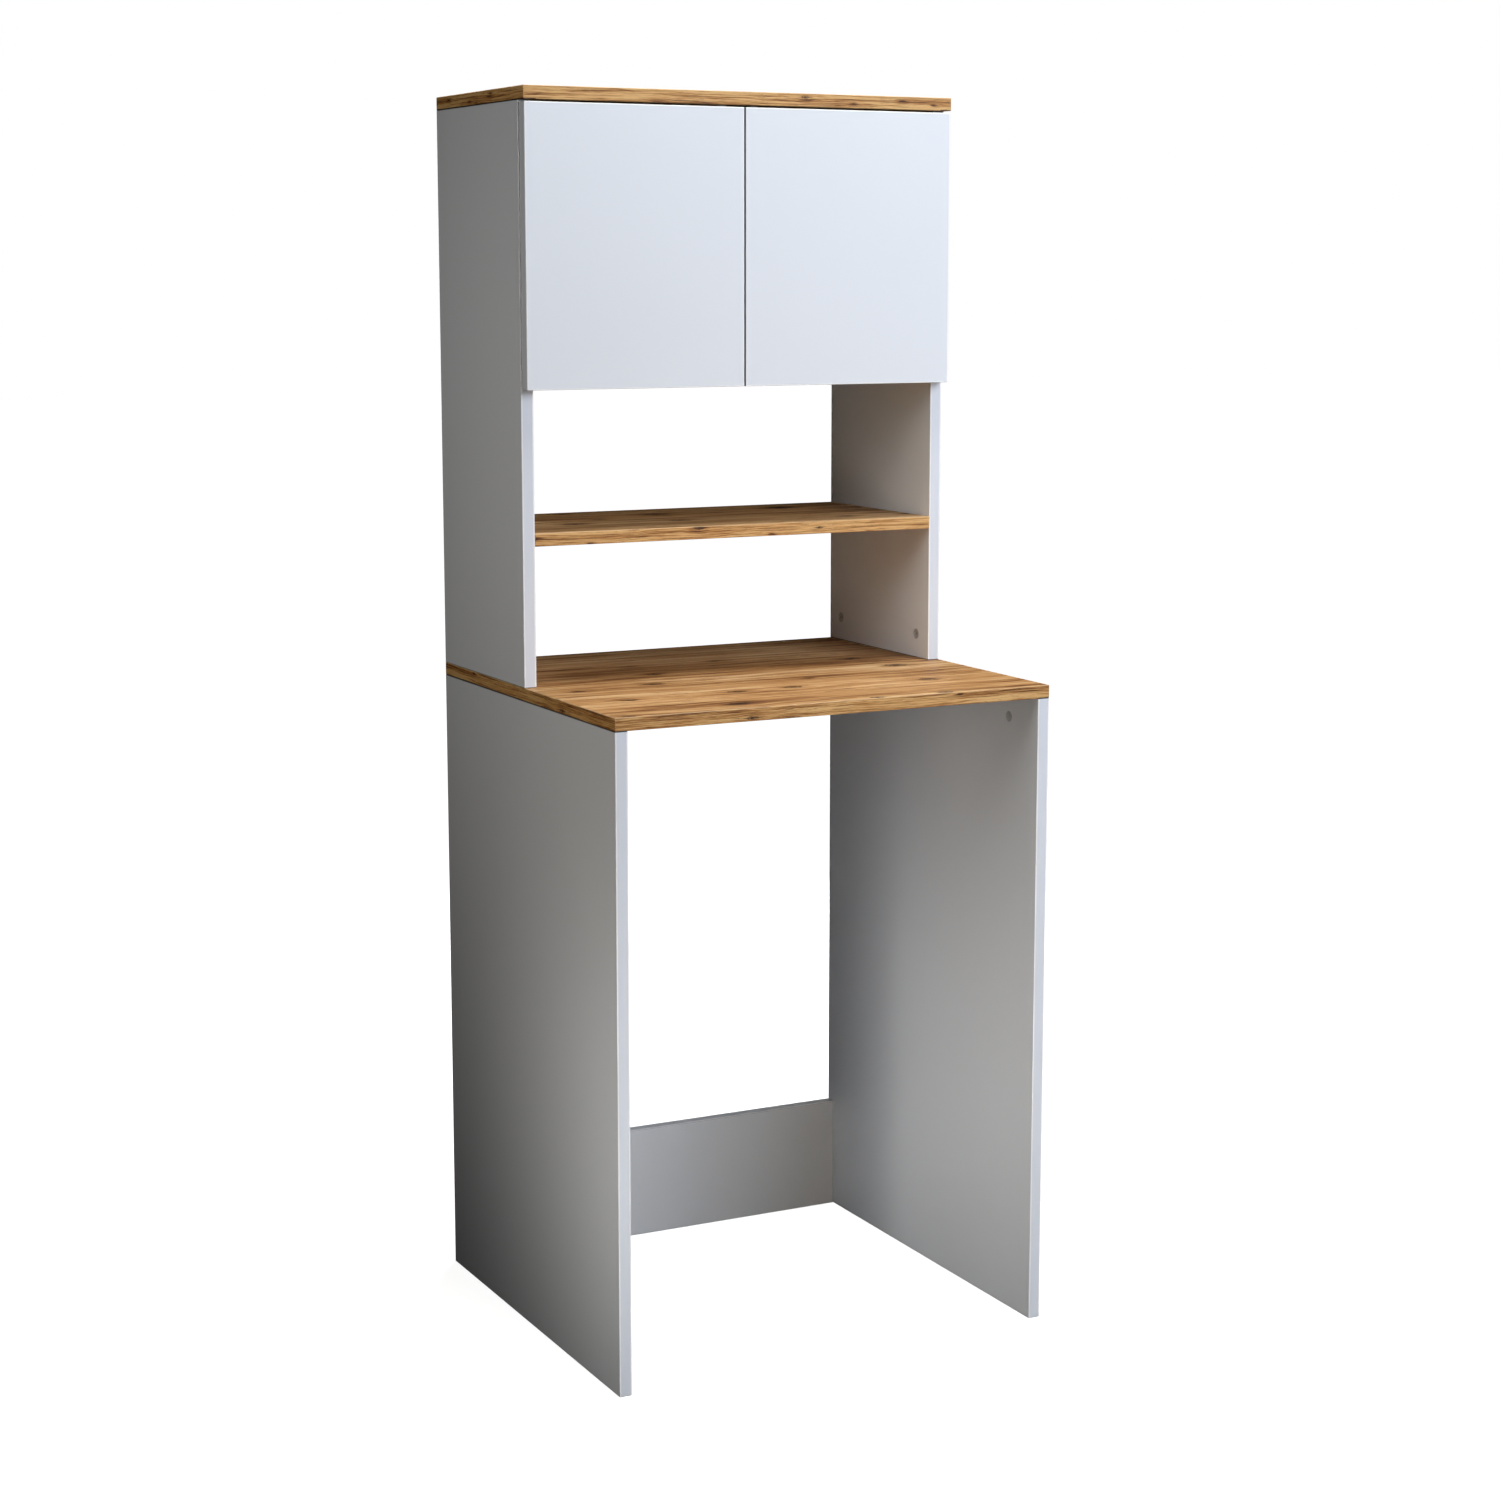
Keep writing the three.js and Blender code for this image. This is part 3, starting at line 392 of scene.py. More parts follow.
def oak_board(name, low, high, seed, edge_light):
    # Paper printed with a picture of oak, pressed on chipboard and lacquered: a warm satin surface with its
    # pores embossed a little, and a tape of stronger print along the edges
    material, tree, shader, place = new_material(f"oak_decor_{name}", IOR=1.45, Specular_IOR_Level=0.35)
    x, y, z = add(tree, "SeparateXYZ", [place]).outputs

    # Where a point lies: on an end, on a long edge, or on a broad face
    offset_y = add(tree, "Math", [y, (low.y + high.y) / 2], operation="SUBTRACT")
    far_x, far_y = (add(tree, "Math", [offset], operation="ABSOLUTE") for offset in (x, offset_y))
    end = add(tree, "Math", [far_x, (high.x - low.x) / 2 - EDGE_BAND], operation="GREATER_THAN")
    long_edge = add(tree, "Math", [far_y, (high.y - low.y) / 2 - EDGE_BAND], operation="GREATER_THAN")
    edge = add(tree, "Math", [end, long_edge], operation="MAXIMUM")

    # Along and across the grain, with a shift of its own for every board
    along, finer = add(tree, "Mix", [end, x, y]), add(tree, "Mix", [edge, 1.0, EDGE_FINER[0]])
    along = add(tree, "Math", [along, finer, seed * BOARD_SHIFT[0]], operation="MULTIPLY_ADD")
    across = add(tree, "Mix", [edge, y, product(tree, z, EDGE_FINER[1])])
    across = add(tree, "Math", [across, seed * BOARD_SHIFT[1]], operation="ADD")
    sway = oak_noise(tree, "sway", along, across, seed)
    across = add(tree, "Math", [sway, SWAY, across], operation="MULTIPLY_ADD")

    # The grain runs round a knot: near one, the lines are spread away from its middle
    knot, halo, aside = oak_knots(tree, along, across, seed)
    across = add(tree, "Math", [aside, -SPREAD * KNOT_CELL[1] * MM, across], operation="MULTIPLY_ADD")

    kinds = (*TONE_SHARES, "cracks", "patches")
    noises = {kind: oak_noise(tree, kind, along, across, seed) for kind in kinds}
    shares = [(noises[kind], add(tree, "Mix", [edge, *pair])) for kind, pair in TONE_SHARES.items()]
    shade = product(tree, halo, HALO_SHADE)
    tone = add(tree, "Math", [weighted(tree, *shares), shade], operation="SUBTRACT")
    from_mean = add(tree, "Math", [tone, 0.5], operation="SUBTRACT")
    contrast = add(tree, "Mix", [edge, *CONTRAST])
    light = add(tree, "Mix", [edge, FACE_LIGHT, edge_light])
    tone = add(tree, "Math", [from_mean, contrast, light], operation="MULTIPLY_ADD", use_clamp=True)

    # Short cracks and dark pores come in patches
    crack = mask(tree, (noises["cracks"], *CRACKED), (noises["patches"], *PATCHED))
    wood = paint_over(tree, oak_colour(tree, tone), (product(tree, crack, CRACK_COVER), CRACK_DARK),
                      (product(tree, knot, KNOT_COVER), KNOT_DARK))
    wood = add(tree, "Mix", [edge, wood, colour(EDGE_TINT)], data_type="RGBA", blend_type="MULTIPLY")
    # painted highlight along the edge's upper corner
    corner = mask(tree, (z, *(high.z - depth for depth in OAK_ARRIS)))
    over_side = add(tree, "Math", [far_x, INNER_X * MM], operation="GREATER_THAN")
    # painted shade along the edge's lower corner, where the board lies on a side
    seam_shade = mask(tree, (z, *(low.z + rise for rise in OAK_SEAM_SHADE)))
    wood = paint_over(tree, wood, (product(tree, edge, corner, ARRIS_HIGHLIGHT_COVER), OAK_ARRIS_HIGHLIGHT),
                      (product(tree, over_side, edge, seam_shade, SEAM_SHADE_COVER), SEAM_SHADE_BROWN))
    height = weighted(tree, (noises["grain"], 0.5), (noises["fibres"], 0.5), (crack, -1.0), (knot, -1.0))
    dress(tree, shader, wood, add(tree, "Mix", [noises["fibres"], *OAK_ROUGHNESS]), height, *OAK_BUMP)
    return material


OAK_BOARDS = {
    "worktop": in_metres((-OUTER_X, FRONT_Y, BASE_TOP), (OUTER_X, BACK_Y, WORKTOP_TOP)),
    "niche_shelf": in_metres((-INNER_X, UPPER_FRONT_Y, SHELF_Z), (INNER_X, BACK_Y, SHELF_Z + BOARD)),
    "top_board": in_metres((-OUTER_X, DOOR_BACK_Y - BOARD, UPPER_TOP), (OUTER_X, BACK_Y, UPPER_TOP + BOARD)),
}
OAK_SEEDS = {"worktop": 1.0, "niche_shelf": 2.0, "top_board": 5.0}
OAK_EDGE_LIGHT = {"worktop": 0.73, "niche_shelf": 0.82, "top_board": 0.79}  # the middle tone of each board's edge print
for name, (low, high) in OAK_BOARDS.items():
    give(name, oak_board(name, low, high, OAK_SEEDS[name], OAK_EDGE_LIGHT[name]))
print("oak boards:", len(OAK_BOARDS))

# %% [markdown]
# ## Metals, plastic and hardboard
#
# The fittings need four finishes. Nickel plate on pressed steel is warm and rather glossy. Zinc die casting
# is duller, with a mottled skin from the mould. The latches are moulded ABS with a fine spark-eroded texture.
# The back panel is hardboard, lacquered white on the face that shows in the cupboard and left brown behind,
# and the material tells the two faces apart by where they lie.

# %% Nickel-plated steel
ROLLING_LINES, SCUFFS = 1.2 * MM, 6.0 * MM
NICKEL_DULL, NICKEL_BRIGHT = "B9B4AB", "D3CFC7"
NICKEL_ROUGHNESS, NICKEL_BUMP = (0.20, 0.38), (0.15, 0.02 * MM)


def nickel_plate():
    # Steel pressed from strip and plated in a barrel: a warm gloss with faint rolling lines and small scuffs
    material, tree, shader, place = new_material("nickel_plated_steel", Metallic=1.0)
    rolled = add(tree, "Mapping", {"Vector": place, "Scale": (1.0, 8.0, 1.0)})
    lines = add(tree, "TexNoise", {"Vector": rolled, "Scale": 1 / ROLLING_LINES, "Detail": 3.0})
    scuffs = add(tree, "TexNoise", {"Vector": place, "Scale": 1 / SCUFFS, "Detail": 4.0})
    tone = paint_over(tree, colour(NICKEL_DULL), (scuffs, NICKEL_BRIGHT))
    dress(tree, shader, tone, add(tree, "Mix", [lines, *NICKEL_ROUGHNESS]), lines, *NICKEL_BUMP)
    return material


nickel = nickel_plate()


# %% Zinc die casting
CHILL_MARKS, CAST_SKIN = 3.0 * MM, 0.5 * MM
ZINC_DULL, ZINC_BRIGHT = "B0B2B4", "D4D6D8"
ZINC_ROUGHNESS, ZINC_BUMP = (0.36, 0.58), (0.3, 0.04 * MM)


def zinc_casting():
    # Zinc cast under pressure: a grey skin, mottled where the metal chilled, a little rough
    material, tree, shader, place = new_material("zinc_die_casting", Metallic=0.34)
    chill = add(tree, "TexNoise", {"Vector": place, "Scale": 1 / CHILL_MARKS, "Detail": 4.0})
    skin = add(tree, "TexNoise", {"Vector": place, "Scale": 1 / CAST_SKIN, "Detail": 2.0})
    tone = paint_over(tree, colour(ZINC_DULL), (chill, ZINC_BRIGHT))
    dress(tree, shader, tone, add(tree, "Mix", [skin, *ZINC_ROUGHNESS]), skin, *ZINC_BUMP)
    return material


zinc = zinc_casting()


# %% Moulded ABS
SPARK_GRAIN, FLOW_MARKS = 0.45 * MM, 20.0 * MM
ABS_DARK, ABS_PALE = "AEB1B3", "BDC0C2"
ABS_ROUGHNESS, ABS_BUMP = (0.44, 0.6), (0.35, 0.05 * MM)


def moulded_abs():
    # ABS moulded in a spark-eroded tool: an even fine grain, dull on the faces
    material, tree, shader, place = new_material("moulded_abs", IOR=1.53)
    grain = add(tree, "TexVoronoi", {"Vector": place, "Scale": 1 / SPARK_GRAIN})
    flow = add(tree, "TexNoise", {"Vector": place, "Scale": 1 / FLOW_MARKS, "Detail": 2.0})
    tone = paint_over(tree, colour(ABS_DARK), (flow, ABS_PALE))
    dress(tree, shader, tone, add(tree, "Mix", [grain, *ABS_ROUGHNESS]), grain, *ABS_BUMP)
    return material


plastic = moulded_abs()


# %% Lacquered hardboard
CLUMPS, WOOD_FIBRES, LACQUER_DEPTH = 9.0 * MM, 5.0 * MM, 0.4 * MM
HARDBOARD_DARK, HARDBOARD_BROWN, FIBRE_PALE, LACQUER = "8C6A48", "AD8A62", "C2A57C", "E4E6E6"
HARDBOARD_ROUGHNESS, HARDBOARD_BUMP = (0.72, 0.42), (0.3, 0.08 * MM)  # roughness without and with lacquer


def hardboard_sheet(front_y):
    # Pressed wood fibres: brown and felted behind, with a thin white lacquer on the face in front
    material, tree, shader, place = new_material("lacquered_hardboard", IOR=1.48)
    y = add(tree, "SeparateXYZ", [place]).outputs["Y"]
    lacquer = add(tree, "Math", [y, front_y + LACQUER_DEPTH], operation="LESS_THAN")
    clumps = add(tree, "TexNoise", {"Vector": place, "Scale": 1 / CLUMPS, "Detail": 5.0})
    sloping = add(tree, "Mapping", {"Vector": place, "Rotation": (0, 0.6, 0), "Scale": (1, 1, 5)})
    sockets = {"Vector": sloping, "Scale": 1 / WOOD_FIBRES, "Detail": 6.0, "Distortion": 1.5}
    fibres = add(tree, "TexNoise", sockets)
    pale_fibres = mask(tree, (fibres, 0.5, 0.72))
    tone = paint_over(tree, colour(HARDBOARD_DARK), (clumps, HARDBOARD_BROWN), (pale_fibres, FIBRE_PALE),
                      (lacquer, LACQUER))
    dress(tree, shader, tone, add(tree, "Mix", [lacquer, *HARDBOARD_ROUGHNESS]), fibres, *HARDBOARD_BUMP)
    return material


hardboard = hardboard_sheet(BACK_Y * MM)
print("fitting materials:", [material.name for material in (nickel, zinc, plastic, hardboard)])

# %% [markdown]
# ## Ways of making a fitting
#
# The fittings are made as on a bench: a primitive is set down, shaped in edit mode, and finished with
# modifiers that are applied at once. A turned piece could be spun from a drawn outline. Extruding a disc from
# one height and radius to the next gives the same shape, stays closed, and needs no seam to be merged.

# %% Making and changing a mesh
def only(piece):
    """Makes one piece the selected and active one."""
    bpy.ops.object.select_all(action="DESELECT")
    piece.select_set(True)
    bpy.context.view_layer.objects.active = piece
    return piece


def primitive(kind, **options):
    bpy.ops.object.select_all(action="DESELECT")
    getattr(bpy.ops.mesh, f"primitive_{kind}_add")(**options)
    return bpy.context.object


def pick(piece, test, kind="FACE"):
    """Opens a piece in edit mode and selects its faces, edges or points that pass a test."""
    only(piece)
    bpy.ops.object.mode_set(mode="EDIT")
    bpy.ops.mesh.select_mode(type=kind)
    bpy.ops.mesh.select_all(action="DESELECT")
    mesh = bmesh.from_edit_mesh(piece.data)
    for part in {"FACE": mesh.faces, "EDGE": mesh.edges, "VERT": mesh.verts}[kind]:
        if test(part):
            part.select_set(True)
    bmesh.update_edit_mesh(piece.data)


def turned(profile, sides=48):
    """A round piece about Z: a disc is extruded to each height and radius in turn, in mm."""
    (height, radius), *steps = [(h * MM, r * MM) for h, r in profile]
    piece = primitive("circle", vertices=sides, radius=radius, fill_type="NGON", location=(0, 0, height))
    bpy.ops.object.transform_apply(location=True)
    bpy.ops.object.mode_set(mode="EDIT")
    bpy.ops.mesh.select_all(action="SELECT")
    for next_height, next_radius in steps:
        bpy.ops.mesh.extrude_region_move(TRANSFORM_OT_translate={"value": (0, 0, next_height - height)})
        scale = next_radius / radius
        bpy.ops.transform.resize(value=(scale, scale, 1), center_override=(0, 0, next_height))
        height, radius = next_height, next_radius
    bpy.ops.mesh.select_all(action="SELECT")
    bpy.ops.mesh.normals_make_consistent(inside=False)
    bpy.ops.object.mode_set(mode="OBJECT")
    return piece


def bar(low, high):
    """A block between two corners in mm, to start a shape or to carve with."""
    low, high = Vector(low) * MM, Vector(high) * MM
    piece = primitive("cube", size=1.0, location=(low + high) / 2)
    piece.scale = high - low
    bpy.ops.object.transform_apply(location=True, scale=True)
    return piece


def change(piece, kind, **settings):
    """Adds one modifier to a piece and applies it."""
    only(piece)
    modifier = piece.modifiers.new(kind.title(), kind)
    for setting, value in settings.items():
        setattr(modifier, setting, value)
    bpy.ops.object.modifier_apply(modifier=modifier.name)
    return piece


def carve(piece, tool, operation="DIFFERENCE"):
    change(piece, "BOOLEAN", operation=operation, solver="EXACT", object=tool)
    bpy.data.objects.remove(tool)
    return piece


def place_at(piece, matrix):
    """Moves a piece, and puts the new place in its mesh."""
    only(piece)
    piece.matrix_world = matrix @ piece.matrix_world
    bpy.ops.object.transform_apply(location=True, rotation=True, scale=True)
    return piece


def copy_at(pattern, matrix):
    piece = pattern.copy()
    piece.data = pattern.data.copy()
    bpy.context.scene.collection.objects.link(piece)
    return place_at(piece, matrix)


def as_one(first, *others):
    only(first)
    for other in others:
        other.select_set(True)
    bpy.ops.object.join()
    return first


def ease_edges(piece, width, angle=32.0):
    """Rounds the edges sharper than an angle, and shades the rest smooth."""
    limit = {"limit_method": "ANGLE", "angle_limit": math.radians(angle)}
    change(piece, "BEVEL", width=width * MM, segments=2, **limit)
    only(piece)
    bpy.ops.object.shade_smooth_by_angle(angle=math.radians(angle))
    return piece


def at(x, y, z):
    return Matrix.Translation(Vector((x, y, z)) * MM)


BODY_OF = {node: body for body, nodes in frame["record"]["behaviour"]["bodies"].items() for node in nodes}


def stand_in(piece, node, material):
    """Lets a finished piece take the place of a solid of the frame."""
    piece.name = piece.data.name = f"{node}_fine"
    piece.data.materials.clear()
    piece.data.materials.append(material)
    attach(piece, BODY_OF[node])
    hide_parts(node)


# %% [markdown]
# ## Screws
#
# The screws of hinges and latches have low round heads with a cross recess. The recess is carved with two
# tapered blades, because its sloping walls are what catches the light. One head is turned for each size, and
# every screw gets a copy.

# %% Screw heads
def screw_head(radius, height):
    head = turned([(0, radius), (height * 0.4, radius), (height * 0.8, radius * 0.88),
                   (height, radius * 0.62)], sides=32)
    for turn in (45, 135):
        length, half, depth = radius * 0.62, radius * 0.16, height * 0.75
        blade = bar((-length, -half, height - depth), (length, half, height + depth))
        pick(blade, lambda face: face.normal.z < -0.9)
        bpy.ops.transform.resize(value=(0.45, 0.45, 1), center_override=(0, 0, (height - depth) * MM))
        bpy.ops.object.mode_set(mode="OBJECT")
        carve(head, place_at(blade, Matrix.Rotation(math.radians(turn), 4, "Z")))
    only(head)
    bpy.ops.object.shade_smooth_by_angle(angle=math.radians(25))
    return head


HEADS = {"cup": (3.25, 1.4), "plate": (3.55, 1.6), "arm": (3.75, 2.0), "latch": (2.95, 1.4)}
screw_heads = {name: screw_head(*size) for name, size in HEADS.items()}
print("screw head patterns:", list(screw_heads))


def solid_copy(node, back_to_bench, screws=()):
    """A copy of a frame solid with its points merged, its flat faces whole, and its six-sided heads off."""
    piece = frame["nodes"][node].copy()
    piece.data = piece.data.copy()
    piece.parent = None
    bpy.context.scene.collection.objects.link(piece)
    place_at(piece, back_to_bench @ piece.matrix_world.inverted())
    only(piece)
    bpy.ops.object.mode_set(mode="EDIT")
    bpy.ops.mesh.select_all(action="SELECT")
    bpy.ops.mesh.remove_doubles(threshold=0.001 * MM)
    bpy.ops.mesh.dissolve_limited(angle_limit=math.radians(0.5))
    bpy.ops.object.mode_set(mode="OBJECT")
    for kind, seat in screws:
        radius, height = (size * MM for size in HEADS[kind])
        from_seat = seat.inverted()

        def on_head(point):
            place = from_seat @ point.co
            return 0.1 * MM < place.z < height * 1.2 and Vector(place[:2]).length < radius * 1.1

        pick(piece, on_head, "VERT")
        bpy.ops.mesh.delete(type="VERT")
        bpy.ops.mesh.select_all(action="SELECT")
        bpy.ops.mesh.fill_holes(sides=0)
        bpy.ops.mesh.normals_make_consistent(inside=False)
        bpy.ops.object.mode_set(mode="OBJECT")
    return piece


def with_screws(piece, screws):
    return as_one(piece, *(copy_at(screw_heads[kind], seat) for kind, seat in screws))


# %% [markdown]
# ## Concealed hinges
#
# Each door hangs on two concealed hinges: a pressed cup let into the door, a cranked arm screwed on a plate
# in the cupboard's side, and two links between them that swing the door out and round the side's front. The
# cup is turned, its winged flange is carved from a rounded bar, and a notch in its rim lets the links pass.
# The arm, the plate and the links are copies of the exact solids with their edges eased, since a pressed
# part has no sharp edge, and with round eyes and peened pin ends added. Each part is made once, at the origin
# of the hinge, and copied to its four seats.

# %% Hinge seats
HINGE_INSET = 85.0  # from the door's upper and lower edge
CUP_X, PIN_RADIUS, EYE_RADIUS = 5.8, 1.0, 2.15
ARM_PINS = {"back": (18.0, -12.0), "front": (18.0, 9.5)}
CUP_PINS = {"outer": (-5.5, 3.5), "inner": (1.3, 7.8)}
PLATE_FACE, PLATE_SCREW_Y, PLATE_SCREW_Z = 2.3, -37.0, 16.0
ARM_FACE, ARM_SCREWS_Y = 15.0, (-41.0, -53.0)
TO_X = Matrix.Rotation(math.radians(90), 4, "Y")  # turns a piece's axis from Z to X
TO_Y = Matrix.Rotation(math.radians(-90), 4, "X")
DOWN = Matrix.Rotation(math.radians(180), 4, "X")
CUP_BENCH = at(CUP_X, 0, 0) @ Matrix.Rotation(math.radians(90), 4, "X")  # the cup's mouth looks back
PLATE_SCREWS = [("plate", at(PLATE_FACE, PLATE_SCREW_Y, z) @ TO_X) for z in (-PLATE_SCREW_Z, PLATE_SCREW_Z)]
ARM_SCREWS = [("arm", at(ARM_FACE, y, 0) @ TO_X) for y in ARM_SCREWS_Y]
hinge_seats = {}
for hand, sign, turn in (("left", -1, "X"), ("right", 1, "Z")):
    for level, height in (("top", DOOR_TOP - HINGE_INSET), ("bottom", CUPBOARD_Z + HINGE_INSET)):
        turned_over = Matrix.Rotation(math.radians(180), 4, turn)
        hinge_seats[f"{hand}_{level}"] = at(sign * INNER_X, UPPER_FRONT_Y, height) @ turned_over
print("hinge seats:", list(hinge_seats))


# %% Hinge cup
CUP_OUTER, CUP_BORE, CUP_FLOOR, CUP_BEND = 17.2, 16.3, -13.2, 1.2
FLANGE_RADIUS, FLANGE_TOP, FLANGE_THICK = 19.0, -0.9, 0.8
WING_X, WING_REACH, WING_RADIUS = 9.5, 22.5, 5.5  # the flange's two ears, which take the screws
NOTCH_LOW, NOTCH_HIGH = (-20.0, -5.1, -3.2), (-15.0, 5.1, 1.0)  # lets the links pass the rim
LINK_HALF, LINK_INNER, INNER_LINK_HALF = 4.5, 3.2, 2.9  # the outer link's two cheeks, and the inner link


def hinge_cup():
    seat = FLANGE_TOP - FLANGE_THICK
    bowl = turned([(CUP_FLOOR, CUP_OUTER - CUP_BEND), (CUP_FLOOR + CUP_BEND, CUP_OUTER), (seat, CUP_OUTER),
                   (seat, FLANGE_RADIUS), (FLANGE_TOP - 0.2, FLANGE_RADIUS),
                   (FLANGE_TOP, FLANGE_RADIUS - 0.2), (FLANGE_TOP, CUP_BORE + 0.3),
                   (FLANGE_TOP - 0.3, CUP_BORE), (CUP_FLOOR + 1.8, CUP_BORE),
                   (CUP_FLOOR + 0.8, CUP_BORE - 1.0)], sides=72)
    wings = primitive("cylinder", vertices=40, radius=WING_RADIUS * MM, depth=FLANGE_THICK * MM,
                      location=Vector((WING_X, 0, (FLANGE_TOP + seat) / 2)) * MM)
    bpy.ops.object.transform_apply(location=True)
    for way in (-1, 1):
        pick(wings, lambda point: point.co.y * way > 0.01 * MM, "VERT")
        bpy.ops.transform.translate(value=(0, way * WING_REACH * MM, 0))
        bpy.ops.object.mode_set(mode="OBJECT")
    inside = CUP_BORE + 0.5
    carve(wings, turned([(CUP_FLOOR, inside), (FLANGE_TOP + 1, inside)], sides=72))
    carve(bowl, wings, "UNION")
    carve(bowl, bar(NOTCH_LOW, NOTCH_HIGH))
    only(bowl)
    bpy.ops.object.shade_smooth_by_angle(angle=math.radians(32))
    in_wall = (CUP_OUTER + CUP_BORE) / 2
    rods = []
    for (x, y), inner_end in ((CUP_PINS["outer"], LINK_INNER), (CUP_PINS["inner"], 0.0)):
        reach = math.sqrt(in_wall**2 - (x - CUP_X)**2)
        for way in (-1, 1):
            rod = turned([(inner_end, PIN_RADIUS), (reach, PIN_RADIUS)], sides=24)
            across = Matrix.Rotation(math.radians(-90 * way), 4, "X")
            rods.append(place_at(rod, at(x - CUP_X, 0, -y) @ across))
    screws = [("cup", at(WING_X, way * WING_REACH, FLANGE_TOP)) for way in (-1, 1)]
    return place_at(with_screws(as_one(bowl, *rods), screws), CUP_BENCH)


cup = hinge_cup()
print("cup faces:", len(cup.data.polygons))


# %% Hinge arm, plate and links
PIN_END = [(5.9, 1.7), (6.2, 1.65), (6.4, 1.1)]  # a peened end: distance from the hinge's middle, and radius
EASED = {"arm": 0.25, "plate": 0.2, "link": 0.12}  # how round the pressed edges are


def eye(place, low, high):
    """A round eye with its pin hole, along Z."""
    barrel = turned([(low, EYE_RADIUS), (high, EYE_RADIUS)], sides=32)
    carve(barrel, turned([(low - 1, PIN_RADIUS + 0.25), (high + 1, PIN_RADIUS + 0.25)], sides=32))
    return place_at(barrel, at(*place, 0))


def hinge_arm(bench):
    arm = ease_edges(solid_copy("hinge_arm_left_top", bench, ARM_SCREWS), EASED["arm"])
    ends = []
    for x, y in ARM_PINS.values():
        for flip in (Matrix.Identity(4), DOWN):
            ends.append(place_at(turned(PIN_END, sides=24), at(x, y, 0) @ flip))
    return with_screws(as_one(arm, *ends), ARM_SCREWS)


def hinge_plate(bench):
    plate = ease_edges(solid_copy("hinge_plate_left_top", bench, PLATE_SCREWS), EASED["plate"])
    return with_screws(plate, PLATE_SCREWS)


def hinge_link(bench, kind, eyes):
    link = ease_edges(solid_copy(f"hinge_{kind}_left_top", bench), EASED["link"])
    return as_one(link, *(eye(*size) for size in eyes))


OUTER_EYES = [(ARM_PINS["back"], -LINK_HALF, LINK_HALF), (CUP_PINS["outer"], LINK_INNER, LINK_HALF),
              (CUP_PINS["outer"], -LINK_HALF, -LINK_INNER)]
INNER_EYES = [(ARM_PINS["front"], -INNER_LINK_HALF, INNER_LINK_HALF)]
to_bench = hinge_seats["left_top"].inverted()
hinge_parts = {
    "cup": cup,
    "arm": hinge_arm(to_bench),
    "plate": hinge_plate(to_bench),
    "outer_link": hinge_link(to_bench, "outer_link", OUTER_EYES),
    "inner_link": hinge_link(to_bench, "inner_link", INNER_EYES),
}
for kind, pattern in hinge_parts.items():
    for seat, matrix in hinge_seats.items():
        stand_in(copy_at(pattern, matrix), f"hinge_{kind}_{seat}", nickel)
    bpy.data.objects.remove(pattern)
print("hinge parts:", len(hinge_parts) * len(hinge_seats))

# %% [markdown]
# ## Cam locks
#
# The boards are held together by cam locks, and their round heads are seen in the inner faces. A cam is a
# zinc die casting 15 mm across with a thin rim that covers its bore, a dished face, a cross recess for the
# driver and a small arrow that points at the bolt. The bolt behind it is turned, with a head that the cam
# grips and a thread whose ridges are one turned groove repeated. One lock is made in the frame of a joint,
# with the bolt along X and the cam's face up Z, and copied to the 22 joints.

# %% Cam lock
CAM_REACH, CAM_RADIUS, BOARD_MID = 35.0, 7.2, BOARD / 2
CAM_FOOT, COVER_RADIUS, DISH_RADIUS, DISH_DEPTH = (-3.7, 6.4), 7.65, 5.6, 0.7
CROSS_HALF, CROSS_WIDE, CROSS_DEPTH = 3.6, 0.9, 3.0
ARROW_X, ARROW_SIZE = -4.7, 0.9
BOLT_RADIUS, COLLAR_RADIUS, NECK_RADIUS, HEAD_RADIUS, HEAD_END = 2.2, 3.2, 1.6, 2.8, 1.8
THREAD = {"pitch": 1.8, "length": 11.0, "crest": 2.85}


def cam_body():
    face = BOARD_MID
    body = turned([CAM_FOOT, (-2.9, CAM_RADIUS), (face - 0.1, CAM_RADIUS), (face + 0.05, COVER_RADIUS),
                   (face + 0.2, COVER_RADIUS), (face + 0.3, COVER_RADIUS - 0.15), (face + 0.3, 6.9),
                   (face - 0.5, 6.3), (face - DISH_DEPTH, DISH_RADIUS)], sides=56)
    for turn in (45, 135):
        foot = face - CROSS_DEPTH
        blade = bar((-CROSS_HALF, -CROSS_WIDE, foot), (CROSS_HALF, CROSS_WIDE, face + 1))
        pick(blade, lambda side: side.normal.z < -0.9)
        bpy.ops.transform.resize(value=(0.5, 0.6, 1), center_override=(0, 0, foot * MM))
        bpy.ops.object.mode_set(mode="OBJECT")
        carve(body, place_at(blade, Matrix.Rotation(math.radians(turn), 4, "Z")))
    arrow = primitive("cylinder", vertices=3, radius=ARROW_SIZE * MM, depth=0.6 * MM)
    arrow_place = at(ARROW_X, 0, face - DISH_DEPTH) @ Matrix.Rotation(math.radians(90), 4, "Z")
    carve(body, place_at(arrow, arrow_place))
    carve(body, place_at(turned([(-8.0, COLLAR_RADIUS), (0.0, COLLAR_RADIUS)], sides=24), TO_X))
    only(body)
    bpy.ops.object.shade_smooth_by_angle(angle=math.radians(28))
    return body


